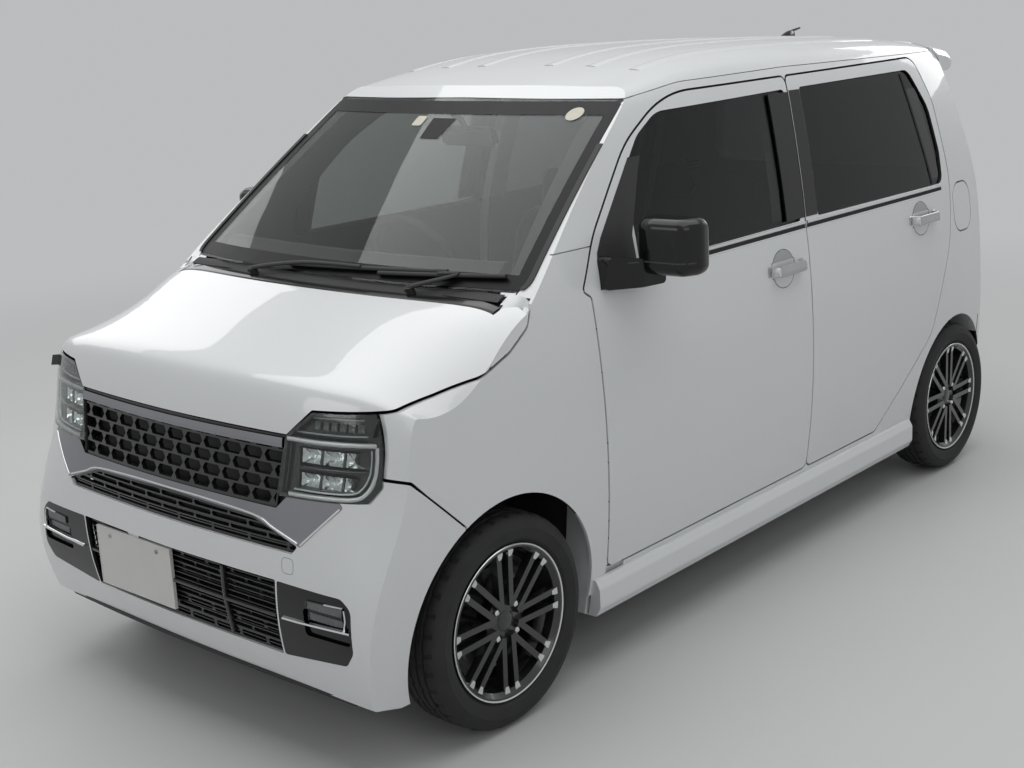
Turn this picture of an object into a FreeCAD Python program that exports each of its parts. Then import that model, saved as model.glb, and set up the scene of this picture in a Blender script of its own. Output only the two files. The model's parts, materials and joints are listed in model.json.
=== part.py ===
import FreeCAD, Part
import functools
import math
import os

import Sketcher

from FreeCAD import Placement, Rotation, Vector

# A tall five-door kei car, built as its real panels, glass, seats, running gear and wheels.
# The frame: +X to the front, +Y to the car's left, +Z up, on the ground under the middle of the car.

document = FreeCAD.newDocument("kei_car")
sheet = document.addObject("Spreadsheet::Sheet", "Dimensions")

DIMENSIONS = (
    ("overall_length", 3395, "bumper to bumper"),
    ("overall_width", 1475, "widest point of the body sides"),
    ("roof_height", 1660, "crown of the roof above the ground"),
    ("wheelbase", 2520, "axle to axle"),
    ("front_overhang", 485, "front axle to the front bumper"),
    ("track", 1290, "wheel centre to wheel centre"),
    ("belt_height", 1085, "bottom edge of the side windows"),
    ("rail_height", 1545, "top edge of the doors"),
    ("sill_height", 172, "underside of the body side"),
    ("floor_height", 262, "top of the cabin floor"),
    ("side_wall", 98, "whole body side, doors and aperture frame"),
    ("door_thickness", 62, "each door from skin to trim"),
    ("panel_gap", 6, "shut lines around doors, bonnet and tailgate"),
    ("roof_thickness", 42, "roof skin to headlining"),
    ("skin_thickness", 9, "wings and bumpers"),
    ("tailgate_thickness", 66, "tailgate from skin to trim"),
    ("bonnet_thickness", 24, "bonnet skin and frame"),
    ("glass_thickness", 5, "side and rear glass"),
    ("glass_inset", 8, "side glass behind the door skin"),
    ("tyre_radius", 281, "165/55 R15 tyre"),
    ("tyre_width", 160, "section width"),
    ("rim_radius", 203, "rim flange"),
    ("front_arch", 335, "front wheel arch opening radius"),
    ("rear_arch", 318, "rear wheel arch opening radius"),
    ("disc_radius", 128, "front brake disc"),
    ("spindle_radius", 17, "wheel spindles"),
    ("king_radius", 9, "steering pins"),
    ("running_gap", 0.05, "radial play of every pin in its bore"),
    ("seat_gap", 0.3, "clearance between pieces that rest on each other"),
    ("kingpin_y", 600, "steering axis from the centre line"),
    ("steering_rim", 178, "steering wheel ring radius"),
    ("plate_width", 330, "licence plate"),
    ("plate_height", 165, "licence plate"),
    ("seat_width", 500, "front seat cushion"),
)
for row, (alias, value, note) in enumerate(DIMENSIONS, 1):
    sheet.set(f"A{row}", note)
    sheet.set(f"B{row}", str(value))
    sheet.setAlias(f"B{row}", alias)
document.recompute()


def size(alias):
    """The value of one named cell."""
    return float(sheet.get(alias))


LENGTH = size("overall_length")
HALF_WIDTH = size("overall_width") / 2
ROOF = size("roof_height")
BELT = size("belt_height")
RAIL = size("rail_height")
SILL = size("sill_height")
FLOOR = size("floor_height")
GAP = size("panel_gap")
NOSE_X = LENGTH / 2
FRONT_AXLE = NOSE_X - size("front_overhang")
REAR_AXLE = FRONT_AXLE - size("wheelbase")
AXLE_Z = size("tyre_radius")
WHEEL_Y = size("track") / 2
REST = size("seat_gap")
PLAY = size("running_gap")
SKIN = size("skin_thickness")
CUT = 2000.0


# Outlines and simple solids


def arc_corner(before, corner, after, radius):
    """The two tangent points and the middle of the arc that rounds one corner of an outline."""
    a = (before - corner).normalize()
    b = (after - corner).normalize()
    half = a.getAngle(b) / 2
    reach = radius / math.tan(half)
    centre = corner + (a + b).normalize() * (radius / math.sin(half))
    middle = centre + (corner - centre).normalize() * radius
    return corner + a * reach, middle, corner + b * reach


def outline(points, place):
    """A closed wire of straight runs. Each point is (u, v) or (u, v, corner radius)."""
    spots = [place(p[0], p[1]) for p in points]
    radii = [p[2] if len(p) > 2 else 0.0 for p in points]
    edges = []
    ends = []
    for i, spot in enumerate(spots):
        if radii[i] > 0:
            ends.append(arc_corner(Vector(spots[i - 1]), spot, spots[(i + 1) % len(spots)], radii[i]))
        else:
            ends.append((spot, None, spot))
    for i, (start, middle, end) in enumerate(ends):
        if middle is not None:
            edges.append(Part.Arc(start, middle, end).toShape())
        following = ends[(i + 1) % len(ends)][0]
        if end.distanceToPoint(following) > 1e-6:
            edges.append(Part.makeLine(end, following))
    return Part.Wire(edges)


def side_prism(points, low=-CUT, high=CUT):
    """An outline in the side view, (x, z), made solid from y low to y high."""
    wire = outline(points, lambda u, v: Vector(u, low, v))
    return Part.Face(wire).extrude(Vector(0, high - low, 0))


def front_prism(points, low, high):
    """An outline in the front view, (y, z), made solid from x low to x high."""
    wire = outline(points, lambda u, v: Vector(low, u, v))
    return Part.Face(wire).extrude(Vector(high - low, 0, 0))


def plan_prism(points, low, high):
    """An outline seen from above, (x, y), made solid from z low to z high."""
    wire = outline(points, lambda u, v: Vector(u, v, low))
    return Part.Face(wire).extrude(Vector(0, 0, high - low))


def block(x0, x1, y0, y1, z0, z1):
    """A plain box between two corners."""
    return Part.makeBox(x1 - x0, y1 - y0, z1 - z0, Vector(x0, y0, z0))


def cylinder_y(x, z, radius, low, high):
    """A cylinder about a line along Y."""
    return Part.makeCylinder(radius, high - low, Vector(x, low, z), Vector(0, 1, 0))


def rod(start, end, radius):
    """A round bar between two points."""
    along = end - start
    return Part.makeCylinder(radius, along.Length, start, along)


def mirrored(shape):
    """The same shape on the other side of the car."""
    return shape.mirror(Vector(0, 0, 0), Vector(0, 1, 0))


def both(shape):
    """A left-hand shape and its right-hand twin."""
    return Part.makeCompound([shape, mirrored(shape)])


def largest(shape):
    """The biggest solid of a cut, without the chips."""
    return max(shape.Solids, key=lambda s: s.Volume)


# The body's outer surface: a lofted side and roof, a nose, a windscreen and a tail


def blend(table, at):
    """Straight interpolation in a short table of (position, value)."""
    if at <= table[0][0]:
        return table[0][1]
    for (a, va), (b, vb) in zip(table, table[1:]):
        if at <= b:
            return va + (vb - va) * (at - a) / (b - a)
    return table[-1][1]


TAPER = ((-1700, 48), (-1500, 22), (-1300, 6), (-900, 0), (700, 0), (1212, 4), (1450, 9), (1700, 20))
ROOF_DROP = (
    (-1700, 74), (-1500, 46), (-1300, 26), (-900, 8), (-400, 0), (0, 8), (250, 34), (480, 88), (800, 190), (1700, 460),
)
STATIONS = (-1760, -1600, -1450, -1250, -950, -600, -200, 150, 400, 650, 900, 1150, 1400, 1760)
UPPER_TAPER = ((-1700, 36), (-1200, 6), (-400, 0), (200, 4), (700, 16), (1700, 30))


def section(x, side, top):
    """The body's cross-section at x, as one smooth curve from sill to sill, closed along the bottom."""
    wide = HALF_WIDTH - blend(TAPER, x) - side
    lean = blend(UPPER_TAPER, x)
    crown = ROOF - blend(ROOF_DROP, x) - top
    rail = RAIL - blend(ROOF_DROP, x) * 0.5 - top * 0.5
    glass = rail - BELT
    half = (
        (wide - 52, SILL), (wide - 28, SILL + 118), (wide - 5, SILL + 300), (wide + 2.7, SILL + 525),
        (wide - 6, BELT - 180), (wide - 24, BELT), (wide - 58 - lean * 0.3, BELT + glass * 0.36),
        (wide - 98 - lean * 0.7, BELT + glass * 0.72), (wide - 132 - lean, rail), (wide - 164 - lean, rail + 60),
        (wide - 262 - lean, crown - 14), (wide - 430 - lean, crown - 2), (0, crown + 1.5),
    )
    poles = [Vector(x, y, z) for y, z in half] + [Vector(x, -y, z) for y, z in reversed(half[:-1])]
    spans = len(poles) - 3
    curve = Part.BSplineCurve()
    curve.buildFromPolesMultsKnots(poles, [4] + [1] * (spans - 1) + [4], list(range(spans + 1)), False, 3)
    return Part.Wire([curve.toShape(), Part.makeLine(poles[-1], poles[0])])


def skin(rows):
    """A smooth surface from a net of control points."""
    across = len(rows[0])
    surface = Part.BSplineSurface()
    surface.buildFromPolesMultsKnots(
        rows, [4] + [1] * (len(rows) - 4) + [4], [4] + [1] * (across - 4) + [4],
        list(range(len(rows) - 2)), list(range(across - 2)), False, False, 3, 3,
    )
    return surface.toShape()


def profile_normals(profile):
    """Unit normals of a side-view profile, to its left as it runs."""
    found = []
    for i in range(len(profile)):
        a = profile[max(i - 1, 0)]
        b = profile[min(i + 1, len(profile) - 1)]
        run = math.hypot(b[0] - a[0], b[1] - a[1])
        found.append(((b[1] - a[1]) / run, -(b[0] - a[0]) / run))
    return found


# Each row of the nose: x back from the bumper's front, z, shares of the upper and the lower sweep, share of the drop
NOSE_ROWS = (
    (-130, 40, 0, 1, 0), (-62, 140, 0, 1, 0), (-20, 260, 0, 1, 0), (3, 400, 0.05, 0.95, 0), (4, 540, 0.45, 0.55, 0),
    (-12, 660, 0.9, 0.1, 0), (-30, 770, 1, 0, 0), (-40, 845, 1, 0, 0.05), (-62, 925, 1, 0, 0.35),
    (-84, 964, 0.9, 0, 0.6), (-150, 980, 0.6, 0, 0.8), (-290, 1014, 0.3, 0, 1), (-440, 1056, 0.1, 0, 0.8),
    (-590, 1091, 0, 0, 0.15), (-900, 1124, 0, 0, 0.1), (-1900, 1150, 0, 0, 0.1),
)
# Each column of the nose: y, upper sweep back, lower sweep back, drop of the bonnet's shoulder
NOSE_PLAN = (
    (0, 0, 0, 0), (230, 8, 3, 5), (420, 20, 8, 15), (560, 41, 11, 30), (655, 77, 13, 60), (715, 123, 19, 118),
    (775, 214, 85, 210),
)
TAIL_ROWS = (
    (-95, 40), (-36, 170), (-6, 320), (2, 470), (-4, 600), (-14, 740), (-26, 930), (-40, 1090),
    (-84, 1250), (-132, 1400), (-176, 1520), (-212, 1620), (-250, 1740),
)
TAIL_SWEEP = ((0, 0), (240, 5), (430, 16), (560, 36), (640, 66), (700, 108), (775, 185))


def mirrored_row(table, build):
    """One row of control points across the car, from a table of (y, offset)."""
    far = [build(-y, value) for y, value in reversed(table[1:])]
    return far + [build(y, value) for y, value in table]


@functools.cache
def nose_outside(inset):
    """Everything in front of and above the nose."""
    profile = [(NOSE_X + row[0], row[1]) for row in NOSE_ROWS]
    rows = []
    for (x, z), (nx, nz), (_, _, upper, lower, drop) in zip(profile, profile_normals(profile), NOSE_ROWS):
        px, pz = x - nx * inset, z - nz * inset
        table = [(y, (high * upper + low * lower, shoulder * drop)) for y, high, low, shoulder in NOSE_PLAN]
        rows.append(mirrored_row(table, lambda y, v: Vector(px - v[0], y, pz - v[1])))
    return skin(rows).extrude(Vector(1500, 0, 1500))


@functools.cache
def tail_outside(inset):
    """Everything behind the tail."""
    rows = []
    for dx, z in TAIL_ROWS:
        rows.append(mirrored_row(TAIL_SWEEP, lambda y, v: Vector(-NOSE_X - dx + v + inset, y, z)))
    return skin(rows).extrude(Vector(-900, 0, 0))


SCREEN_BASE = (1140.0, 1078.0)
SCREEN_TOP = (508.0, 1556.0)
SCREEN_BULGE = 16.0
SCREEN_BOW = 66.0


def screen_x(z, y, inset=0.0):
    """The windscreen's surface: x at a height and a distance from the centre line."""
    middle = (SCREEN_BASE[1] + SCREEN_TOP[1]) / 2
    half = (SCREEN_TOP[1] - SCREEN_BASE[1]) / 2
    slope = (SCREEN_TOP[0] - SCREEN_BASE[0]) / (SCREEN_TOP[1] - SCREEN_BASE[1])
    line = SCREEN_BASE[0] + slope * (z - SCREEN_BASE[1])
    steep = math.sqrt(1 + slope * slope)
    return line + SCREEN_BULGE * (1 - ((z - middle) / half) ** 2) - SCREEN_BOW * (y / 650) ** 2 - inset * steep


@functools.cache
def screen_outside(inset):
    """Everything ahead of the windscreen's surface."""
    low, high, reach = 820.0, 1900.0, 900.0
    rows = []
    for weights in ((1, 0, 0), (0, 1, 0), (0, 0, 1)):
        f = [screen_x(z, 0, inset) for z in (low, (low + high) / 2, high)]
        pole = f[0] * weights[0] + (2 * f[1] - (f[0] + f[2]) / 2) * weights[1] + f[2] * weights[2]
        z = low * weights[0] + (low + high) / 2 * weights[1] + high * weights[2]
        bow = SCREEN_BOW * (reach / 650) ** 2
        rows.append([Vector(pole - bow, -reach, z), Vector(pole + bow, 0, z), Vector(pole - bow, reach, z)])
    surface = Part.BSplineSurface()
    surface.buildFromPolesMultsKnots(rows, [3, 3], [3, 3], [0, 1], [0, 1], False, False, 2, 2)
    return surface.toShape().extrude(Vector(2500, 0, 0))


@functools.cache
def tube(side=0.0, top=0.0):
    """The lofted sides and roof alone, from end to end."""
    return Part.makeLoft([section(x, side, top) for x in STATIONS], True, False)


def hull(side=0.0, top=0.0, nose=0.0, screen=0.0, tail=0.0):
    """The body's outer form as one solid, or the same form set in by given amounts."""
    ahead = screen_outside(screen).fuse(block(1230, 2600, -900, 900, -200, 1900))
    whole = tube(side, top).cut(nose_outside(nose).common(ahead))
    return largest(whole.cut(tail_outside(tail)))


@functools.cache
def front(inset):
    """The front end of the outer form, set in by one amount."""
    return tube(inset, inset).common(block(1180, 1800, -900, 900, 0, 1090)).cut(nose_outside(inset))


@functools.cache
def rear(inset):
    """The rear end of the outer form, set in by one amount."""
    return tube(inset, inset).common(block(-1800, -1180, -900, 900, 0, 1800)).cut(tail_outside(inset))


def front_shell(depth, under=0.0):
    """The skin of the front end between two depths."""
    return front(under).cut(front(depth))


def rear_shell(depth, under=0.0):
    """The skin of the rear end between two depths."""
    return rear(under).cut(rear(depth))


# Finished pieces


PIECES = []


def piece(label, shape):
    """A sub-part of the document, with its own label, shape and placement."""
    solids = shape.Solids
    shape = solids[0] if len(solids) == 1 else Part.makeCompound(solids)
    feature = document.addObject("Part::Feature", label)
    feature.Label = label
    feature.Shape = shape
    feature.Placement = Placement()
    PIECES.append(feature)
    return feature


def keep(shape, smallest=1000.0):
    """The solids of a cut that are big enough to be real pieces."""
    return Part.makeCompound([s for s in shape.Solids if s.Volume > smallest])


def grown(points, amount):
    """An outline moved outwards by an amount, or inwards by a negative one, parallel to itself."""
    count = len(points)
    area = sum(points[i - 1][0] * points[i][1] - points[i][0] * points[i - 1][1] for i in range(count))
    turn = 1.0 if area > 0 else -1.0
    found = []
    for i in range(count):
        (ax, az), (bx, bz), (cx, cz) = (points[(i + k) % count][:2] for k in (-1, 0, 1))
        first, second = math.hypot(bx - ax, bz - az), math.hypot(cx - bx, cz - bz)
        nx1, nz1 = turn * (bz - az) / first, -turn * (bx - ax) / first
        nx2, nz2 = turn * (cz - bz) / second, -turn * (cx - bx) / second
        share = amount / (1 + nx1 * nx2 + nz1 * nz2)
        bend = turn * ((bx - ax) * (cz - bz) - (bz - az) * (cx - bx))
        radius = points[i][2] if len(points[i]) > 2 else 0.0
        if radius:
            radius = max(radius + (amount if bend > 0 else -amount), 1.0)
        found.append((bx + (nx1 + nx2) * share, bz + (nz1 + nz2) * share, radius))
    return found


# The outlines of the openings and panels, seen from the side as (x, z, corner radius)


DOOR_BOTTOM = SILL + 121
FRONT_DOOR = (
    (808, DOOR_BOTTOM, 25), (826, 773, 900), (839, 1050, 14), (868, 1070, 10), (790, 1190, 400), (556, 1414, 450),
    (341, 1532, 500), (-291, 1543, 20), (-237, 1094, 300), (-237, DOOR_BOTTOM, 25),
)
REAR_DOOR = (
    (-243, DOOR_BOTTOM, 25), (-243, 1094, 300), (-297, 1543, 20), (-1192, 1557, 70), (-1275, 1400, 150),
    (-1284, 1130, 500), (-1245, 890, 400), (-1090, 572, 150), (-706, DOOR_BOTTOM, 30),
)
FRONT_WINDOW = (
    (694, 1096, 10), (694, 1180, 8), (600, 1336, 300), (500, 1432, 150), (395, 1488, 150), (-270, 1506, 16), (-213, BELT + 19, 14),
)
WINDOW_BAR = ((626, 1060), (650, 1060), (618, 1400), (594, 1400))
REAR_WINDOW = (
    (-318, BELT + 22, 12), (-360, 1507, 14), (-1128, 1519, 60), (-1226, 1380, 120), (-1240, 1220, 100),
    (-1222, BELT + 22, 40),
)
FUEL_LID = ((-1300, 915, 60), (-1300, 1090, 60), (-1462, 1090, 60), (-1462, 915, 60))
BONNET_SIDE = ((1078, 1068), (1098, 1023, 40), (1173, 975, 80), (1277, 937, 120), (1403, 919, 200), (1546, 906))
BONNET_CORNER = ((1071, 692), (1108, 648), (1240, 648), (1240, 900), (1071, 900))
BUMPER_SEAM = ((1574, 750), (1530, 737, 20), (1486, 697, 30), (1366, 583))
LAMP_SIDE = ((1800, 906), (1550, 906), (1562, 807), (1574, 735, 20), (1600, 696), (1800, 660))
ROOF_SEAM = ((-1800, 1572), (-300, 1574, 900), (250, 1562, 500), (520, 1528), (760, 1450))


# The outlines of the front, seen from ahead as (y, z, corner radius)


def full_width(half):
    """A symmetrical outline from its left half, listed from the middle's top to the middle's bottom."""
    return tuple(half) + tuple((-p[0],) + tuple(p[1:]) for p in reversed(half) if p[0] > 0)


LAMP = ((760, 904), (495, 894, 8), (425, 836, 6), (408, 692, 6), (633, 698, 20), (760, 706))
GRILLE = full_width(((0, 834), (422, 833, 6), (401, 661.6, 4), (0, 661.6)))
TRIM = full_width(
    ((0, 662), (404, 662, 4), (436, 692.5, 4), (592, 696.7, 6), (600, 686, 6), (488, 582, 6), (400, 608, 30),
     (330, 630, 60), (0, 640)),
)
SLOT = full_width(((0, 639.5), (330, 629.5, 60), (400, 607.5, 30), (480, 582, 4), (462, 562, 10), (0, 561)))
INTAKE = full_width(((0, 486), (404, 488, 4), (392, 290, 4), (0, 288)))
FOG = ((410, 487, 6), (618, 484, 30), (648, 460, 30), (650, 357, 30), (622, 318, 25), (398, 290, 6))
FOG_LENS = ((500, 434, 6), (636, 430, 6), (640, 378, 6), (500, 374, 6))
BONNET_EDGE = ((0, 838), (427, 838, 6), (495, 900, 10), (760, 911), (760, 400), (0, 400))
SCREEN = full_width(((0, 1534), (574, 1528, 30), (668, 1092, 24), (0, 1092)))


# The outline of the tailgate, seen from behind as (y, z, corner radius)


TAILGATE = full_width(((0, 1800), (502, 1800), (512, 1520, 200), (590, 1085, 400), (604, 560, 30), (0, 560)))
TAILGATE_WINDOW = full_width(((0, 1468), (440, 1462, 50), (520, 1120, 50), (0, 1112)))
TAIL_LAMP = ((760, 1180), (600, 1180), (612, 720), (760, 720))


# The body's envelopes


outer = hull()
under_skin = hull(SKIN, SKIN, SKIN, 0, SKIN)
under_bonnet = hull(16, size("bonnet_thickness"), size("bonnet_thickness"), 0, 0)
cabin = hull(size("side_wall"), size("roof_thickness"), 60, 40, size("tailgate_thickness"))
sides = tube()
inside_door = tube(size("door_thickness"))
inside_pocket = tube(size("door_thickness") + GAP)
inside_wall = tube(size("side_wall"))
inside_trim = tube(size("side_wall") + 0.4)
glass_outside = tube(size("glass_inset"))
glass_inside = tube(size("glass_inset") + size("glass_thickness"))

front_door_gap = side_prism(grown(FRONT_DOOR, GAP), 300, 900)
rear_door_gap = side_prism(grown(REAR_DOOR, GAP), 300, 900)
front_arch = cylinder_y(FRONT_AXLE, AXLE_Z, size("front_arch"), 410, 900)
rear_arch = cylinder_y(REAR_AXLE, AXLE_Z, size("rear_arch"), 540, 900)
behind_screen = screen_outside(5.4)
roof_zone = side_prism(ROOF_SEAM + ((760, 1900), (-1800, 1900)))
tailgate_gap = front_prism(grown(TAILGATE, GAP), -1800, -1440)


# The fixed body


FENDER_TOP = 1173
fender_zone = side_prism(
    ((815, SILL + 58), (815, 300), (740, 300), (740, FENDER_TOP), (1000, FENDER_TOP), (1064, 1100), (1071, 1066))
    + tuple((x - 2, z - 7.5, r) for x, z, r in BONNET_SIDE[1:-1])
    + ((1544, 898), (1556, 807), (1566, 756), (1524, 743, 20), (1482, 700, 30), (1362, 586), (1362, 400), (880, SILL + 58)),
    300, 900,
)
frame_zone = side_prism(
    ((876, SILL), (876, 1076), (1078, 1084), (1300, 1084), (1300, 1100), (760, 1448), (520, 1526), (250, 1560, 500),
     (-300, 1572, 900), (-1800, 1570), (-1800, 559), (-1550, 559), (-1550, 400), (-990, SILL)),
    300, 900,
)
wall = sides.cut(inside_wall).common(frame_zone)
seal_layer = tube(size("door_thickness") + REST).cut(tube(size("door_thickness") + GAP + 1))
seals = [
    side_prism(grown(points, -26), 300, 900).cut(side_prism(grown(points, -38), 300, 900)).common(seal_layer)
    for points in (FRONT_DOOR, REAR_DOOR)
]
pockets = front_door_gap.fuse(rear_door_gap).cut(inside_pocket)
apertures = side_prism(grown(FRONT_DOOR, -38), 300, 900).fuse(side_prism(grown(REAR_DOOR, -38), 300, 900))
frame = wall.cut(pockets).cut(apertures).fuse(seals).cut(rear_arch).cut(front_arch)
frame = frame.cut(screen_outside(0).common(block(500, 1500, 0, 900, 1060, 1900)))
frame = frame.cut(front_prism(grown(SCREEN, 0.4), 300, 1400).common(behind_screen))
under_fender = side_prism(((736, 0), (736, FENDER_TOP + 3), (1200, FENDER_TOP + 3), (1200, 0)), 300, 900)
frame = frame.cut(under_fender.cut(tube(SKIN + 0.4)))
frame = frame.cut(tail_outside(0)).cut(tailgate_gap)
lamp_corner = front_prism(TAIL_LAMP, -1800, -1590)
frame = frame.cut(front_prism(grown(TAIL_LAMP, 0.4), -1800, -1589.6).cut(rear(15)))
frame = largest(frame)
lid_zone = side_prism(FUEL_LID, 300, 900)
lid_pocket = side_prism(grown(FUEL_LID, GAP), 300, 900).cut(tube(22))
lid_rest = side_prism(((-1452, 985), (-1452, 1020), (-1436, 1020), (-1436, 985)), 300, 900).common(tube(14 + REST))
lid_pocket = lid_pocket.cut(lid_rest)
piece("side_frames", Part.makeCompound([largest(frame.cut(lid_pocket)), mirrored(frame)]))
piece("fuel_lid", largest(lid_zone.common(tube(0.2)).cut(tube(14))))
piece("tail_lamps", both(largest(rear_shell(14.6).common(lamp_corner))))

roof = outer.cut(cabin).common(roof_zone)
roof = roof.cut(tailgate_gap).cut(block(-1800, -1440, -900, 900, 0, 1900)).cut(block(440, 900, -900, 900, 0, 1531))
roof = roof.cut(front_prism(grown(SCREEN, 0.4), 300, 1400).common(behind_screen))
piece("roof", largest(roof))

fender = outer.cut(under_skin).common(fender_zone).cut(front_arch).cut(front_door_gap)
fender = fender.cut(front_prism(grown(SCREEN, 2), 300, 1400))
piece("fenders", both(largest(fender)))

glass_sheet = front_prism(SCREEN, 300, 1400).cut(screen_outside(0.1)).common(screen_outside(5.1))
piece("windscreen", largest(glass_sheet.common(outer)))

lamp_zone = front_prism(LAMP, 1400, 1800).common(side_prism(LAMP_SIDE))
bonnet_zone = side_prism(BONNET_SIDE + ((1800, 906), (1800, 1500), (600, 1500), (600, 1068)))
bonnet_zone = bonnet_zone.fuse(front_prism(((-700, 838), (700, 838), (700, 1000), (-700, 1000)), 1530, 1800))
bonnet_zone = bonnet_zone.cut(front_prism(full_width(BONNET_EDGE), 1530, 1800))
ahead_of_cowl = screen_outside(-24).fuse(both(plan_prism(BONNET_CORNER, 900, 1200)))
bonnet = outer.cut(under_bonnet).common(bonnet_zone).common(ahead_of_cowl)
piece("bonnet", largest(bonnet))


def front_panel(points, shell):
    """One panel of the nose, cut from a shell by its outline seen from ahead."""
    return shell.common(front_prism(points, 1200, 1800))


nose_skin = front_shell(SKIN)
bumper_zone = side_prism(
    ((1800, 214), (1800, 832), (1562, 832)) + BUMPER_SEAM + ((1366, 400), (1480, 180), (1560, 181), (1670, 214, 60)),
)
bumper = nose_skin.common(bumper_zone).cut(cylinder_y(FRONT_AXLE, AXLE_Z, size("front_arch"), -900, 900))
holes = (GRILLE, TRIM, SLOT, INTAKE, FOG, tuple((-p[0],) + tuple(p[1:]) for p in reversed(FOG)))
for hole in holes:
    bumper = bumper.cut(front_prism(grown(hole, 0.3), 1200, 1800))
for lamp in (lamp_zone, mirrored(lamp_zone)):
    bumper = bumper.cut(lamp)
bumper = largest(bumper)

thick_skin = front_shell(22)


def bowed(points, depth, lean, thickness, bow):
    """A plate behind an opening, bowed in plan like the nose and leaning back, ready to be pierced."""
    middle = (max(p[1] for p in points) + min(p[1] for p in points)) / 2
    foot = Vector(-bow, 0, -300)
    plate = Part.makeCylinder(bow, 600, foot).cut(Part.makeCylinder(bow - thickness, 600, foot))
    plate.rotate(Vector(0, 0, 0), Vector(0, 1, 0), -lean)
    plate.translate(Vector(NOSE_X - depth, 0, middle))
    return plate


def honeycomb(points, plate, pitch, bar, long):
    """A plate pierced by staggered hexagonal holes inside a narrow rim."""
    inside = grown(points, -5)
    low, high = min(p[1] for p in inside), max(p[1] for p in inside)
    reach = max(p[0] for p in inside)
    rows = max(round((high - low) / pitch), 1)
    step = (high - low) / rows
    width = pitch * long
    cells = []
    for i in range(rows):
        z = low + (i + 0.5) * step
        half = (step - bar) / 2
        shift = 0.25 if i % 2 else -0.25
        for k in range(-int(reach / width) - 1, int(reach / width) + 2):
            y = (k + shift) * width
            side = width / 2 - bar / 2
            flat = side - half * 0.7
            under = ((y - side, z), (y - flat, z - half), (y + flat, z - half), (y + side, z))
            cells.append(front_prism(under + ((y + flat, z + half), (y - flat, z + half)), 1400, 1800))
    whole = plate.common(front_prism(grown(points, -0.4), 1400, 1800))
    return largest(whole.cut(Part.makeCompound(cells).common(front_prism(inside, 1300, 1900))))


upper_mesh = honeycomb(GRILLE, bowed(GRILLE, 33, 9.5, 12, 4500), 32, 5, 2.3)
slot_mesh = honeycomb(SLOT, bowed(SLOT, 12, 0, 12, 6000), 17, 4, 8)
intake_mesh = honeycomb(INTAKE, bowed(INTAKE, 20, -3, 12, 8000), 20, 5, 5)
piece("grilles", Part.makeCompound([upper_mesh, slot_mesh, intake_mesh]))

trim = largest(front_panel(grown(TRIM, -0.3), thick_skin))
piece("grille_trim", trim)

fog_panel = front_panel(grown(FOG, -0.3), thick_skin).cut(front_panel(grown(FOG_LENS, 5), front_shell(17)))
fog_panel = fog_panel.cut(front_panel(((424, 346), (630, 352, 12), (606, 328, 12), (424, 306)), front_shell(12)))
fog_panel = largest(fog_panel.fuse(front_panel(FOG_LENS, front_shell(19, 8))))
piece("fog_lamps", both(fog_panel))

lens = front_shell(3).common(front_prism(grown(LAMP, -0.4), 1400, 1800)).common(side_prism(grown(LAMP_SIDE, -0.4)))
piece("headlamp_lenses", both(largest(lens)))
lamp_body = front_shell(70, 3.3).common(block(1200, 1800, 0, 900, 600, 1000)).common(front_prism(grown(LAMP, -0.4), 1400, 1800))
lamp_body = lamp_body.common(side_prism(grown(LAMP_SIDE, -0.4)))
hollow = front_shell(44, 3.2).common(front_prism(grown(LAMP, -8), 1400, 1800)).common(side_prism(grown(LAMP_SIDE, -8)))
lamp_body = lamp_body.cut(hollow)
piece("headlamps", both(largest(lamp_body)))

PLATE_Y = -174
plate_half = size("plate_width") / 2
plate_low = 396 - size("plate_height") / 2
plate = block(1560, NOSE_X - 1, PLATE_Y - plate_half, PLATE_Y + plate_half, plate_low, plate_low + size("plate_height"))
plate = plate.common(block(NOSE_X - 9, NOSE_X, -900, 900, 0, 600))
bracket = front_panel(((-200, 420), (-148, 420), (-148, 496), (-200, 496)), front_shell(9, 4.5))
plate = plate.fuse(bracket)
bumper = largest(bumper.fuse(plate))
piece("front_bumper", bumper)


# The rear end


rear_skin = rear_shell(SKIN)
rear_zone = side_prism(((-1800, SILL), (-1800, 553), (-1556, 553), (-1556, 400), (-1480, SILL)))
rear_bumper = rear_skin.common(rear_zone).cut(cylinder_y(REAR_AXLE, AXLE_Z, size("rear_arch"), -900, 900))
ledge = rear(8).common(block(-1800, -1600, -600, 600, 541, 553))
stops = [Part.makeCylinder(11, 553 + GAP + 1 - REST - 541, Vector(-1662, y, 541)) for y in (-400, 400)]
rear_bumper = largest(rear_bumper.fuse([ledge] + stops))
piece("rear_bumper", rear_bumper)

inside_gate = tube(0, 42).common(block(-1800, -1180, -900, 900, 0, 1800)).cut(tail_outside(size("tailgate_thickness")))
gate = rear(0).common(front_prism(TAILGATE, -1800, -1446)).cut(inside_gate)
gate = gate.cut(front_prism(TAILGATE_WINDOW, -1800, -1300))
spoiler = side_prism(
    ((-1452, 1600), (-1470, 1618, 20), (-1560, 1622, 300), (-1690, 1607, 12), (-1697, 1582, 10), (-1640, 1566), (-1500, 1540)),
    -498, 498,
).common(tube(0, -3))
gate = largest(gate.fuse(spoiler.cut(rear(20))))
piece("tailgate", gate)
gate_glass = rear_shell(5).common(front_prism(grown(TAILGATE_WINDOW, -0.4), -1800, -1300))
piece("tailgate_glass", largest(gate_glass))


# Doors and their glass


def door(points, window, bar=None):
    """A door on the left side: the wall's outer part inside the outline, less its window."""
    panel = sides.cut(inside_door).common(side_prism(points, 300, 900))
    opening = side_prism(window, 300, 900)
    if bar:
        opening = opening.cut(side_prism(bar, 300, 900))
    return largest(panel.cut(opening))


def door_glass(window, bar=None):
    """The glass of one door, inside its window."""
    opening = side_prism(grown(window, -0.4), 300, 900)
    if bar:
        opening = opening.cut(side_prism(grown(bar, 0.4), 300, 900))
    return keep(glass_outside.cut(glass_inside).common(opening))


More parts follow.
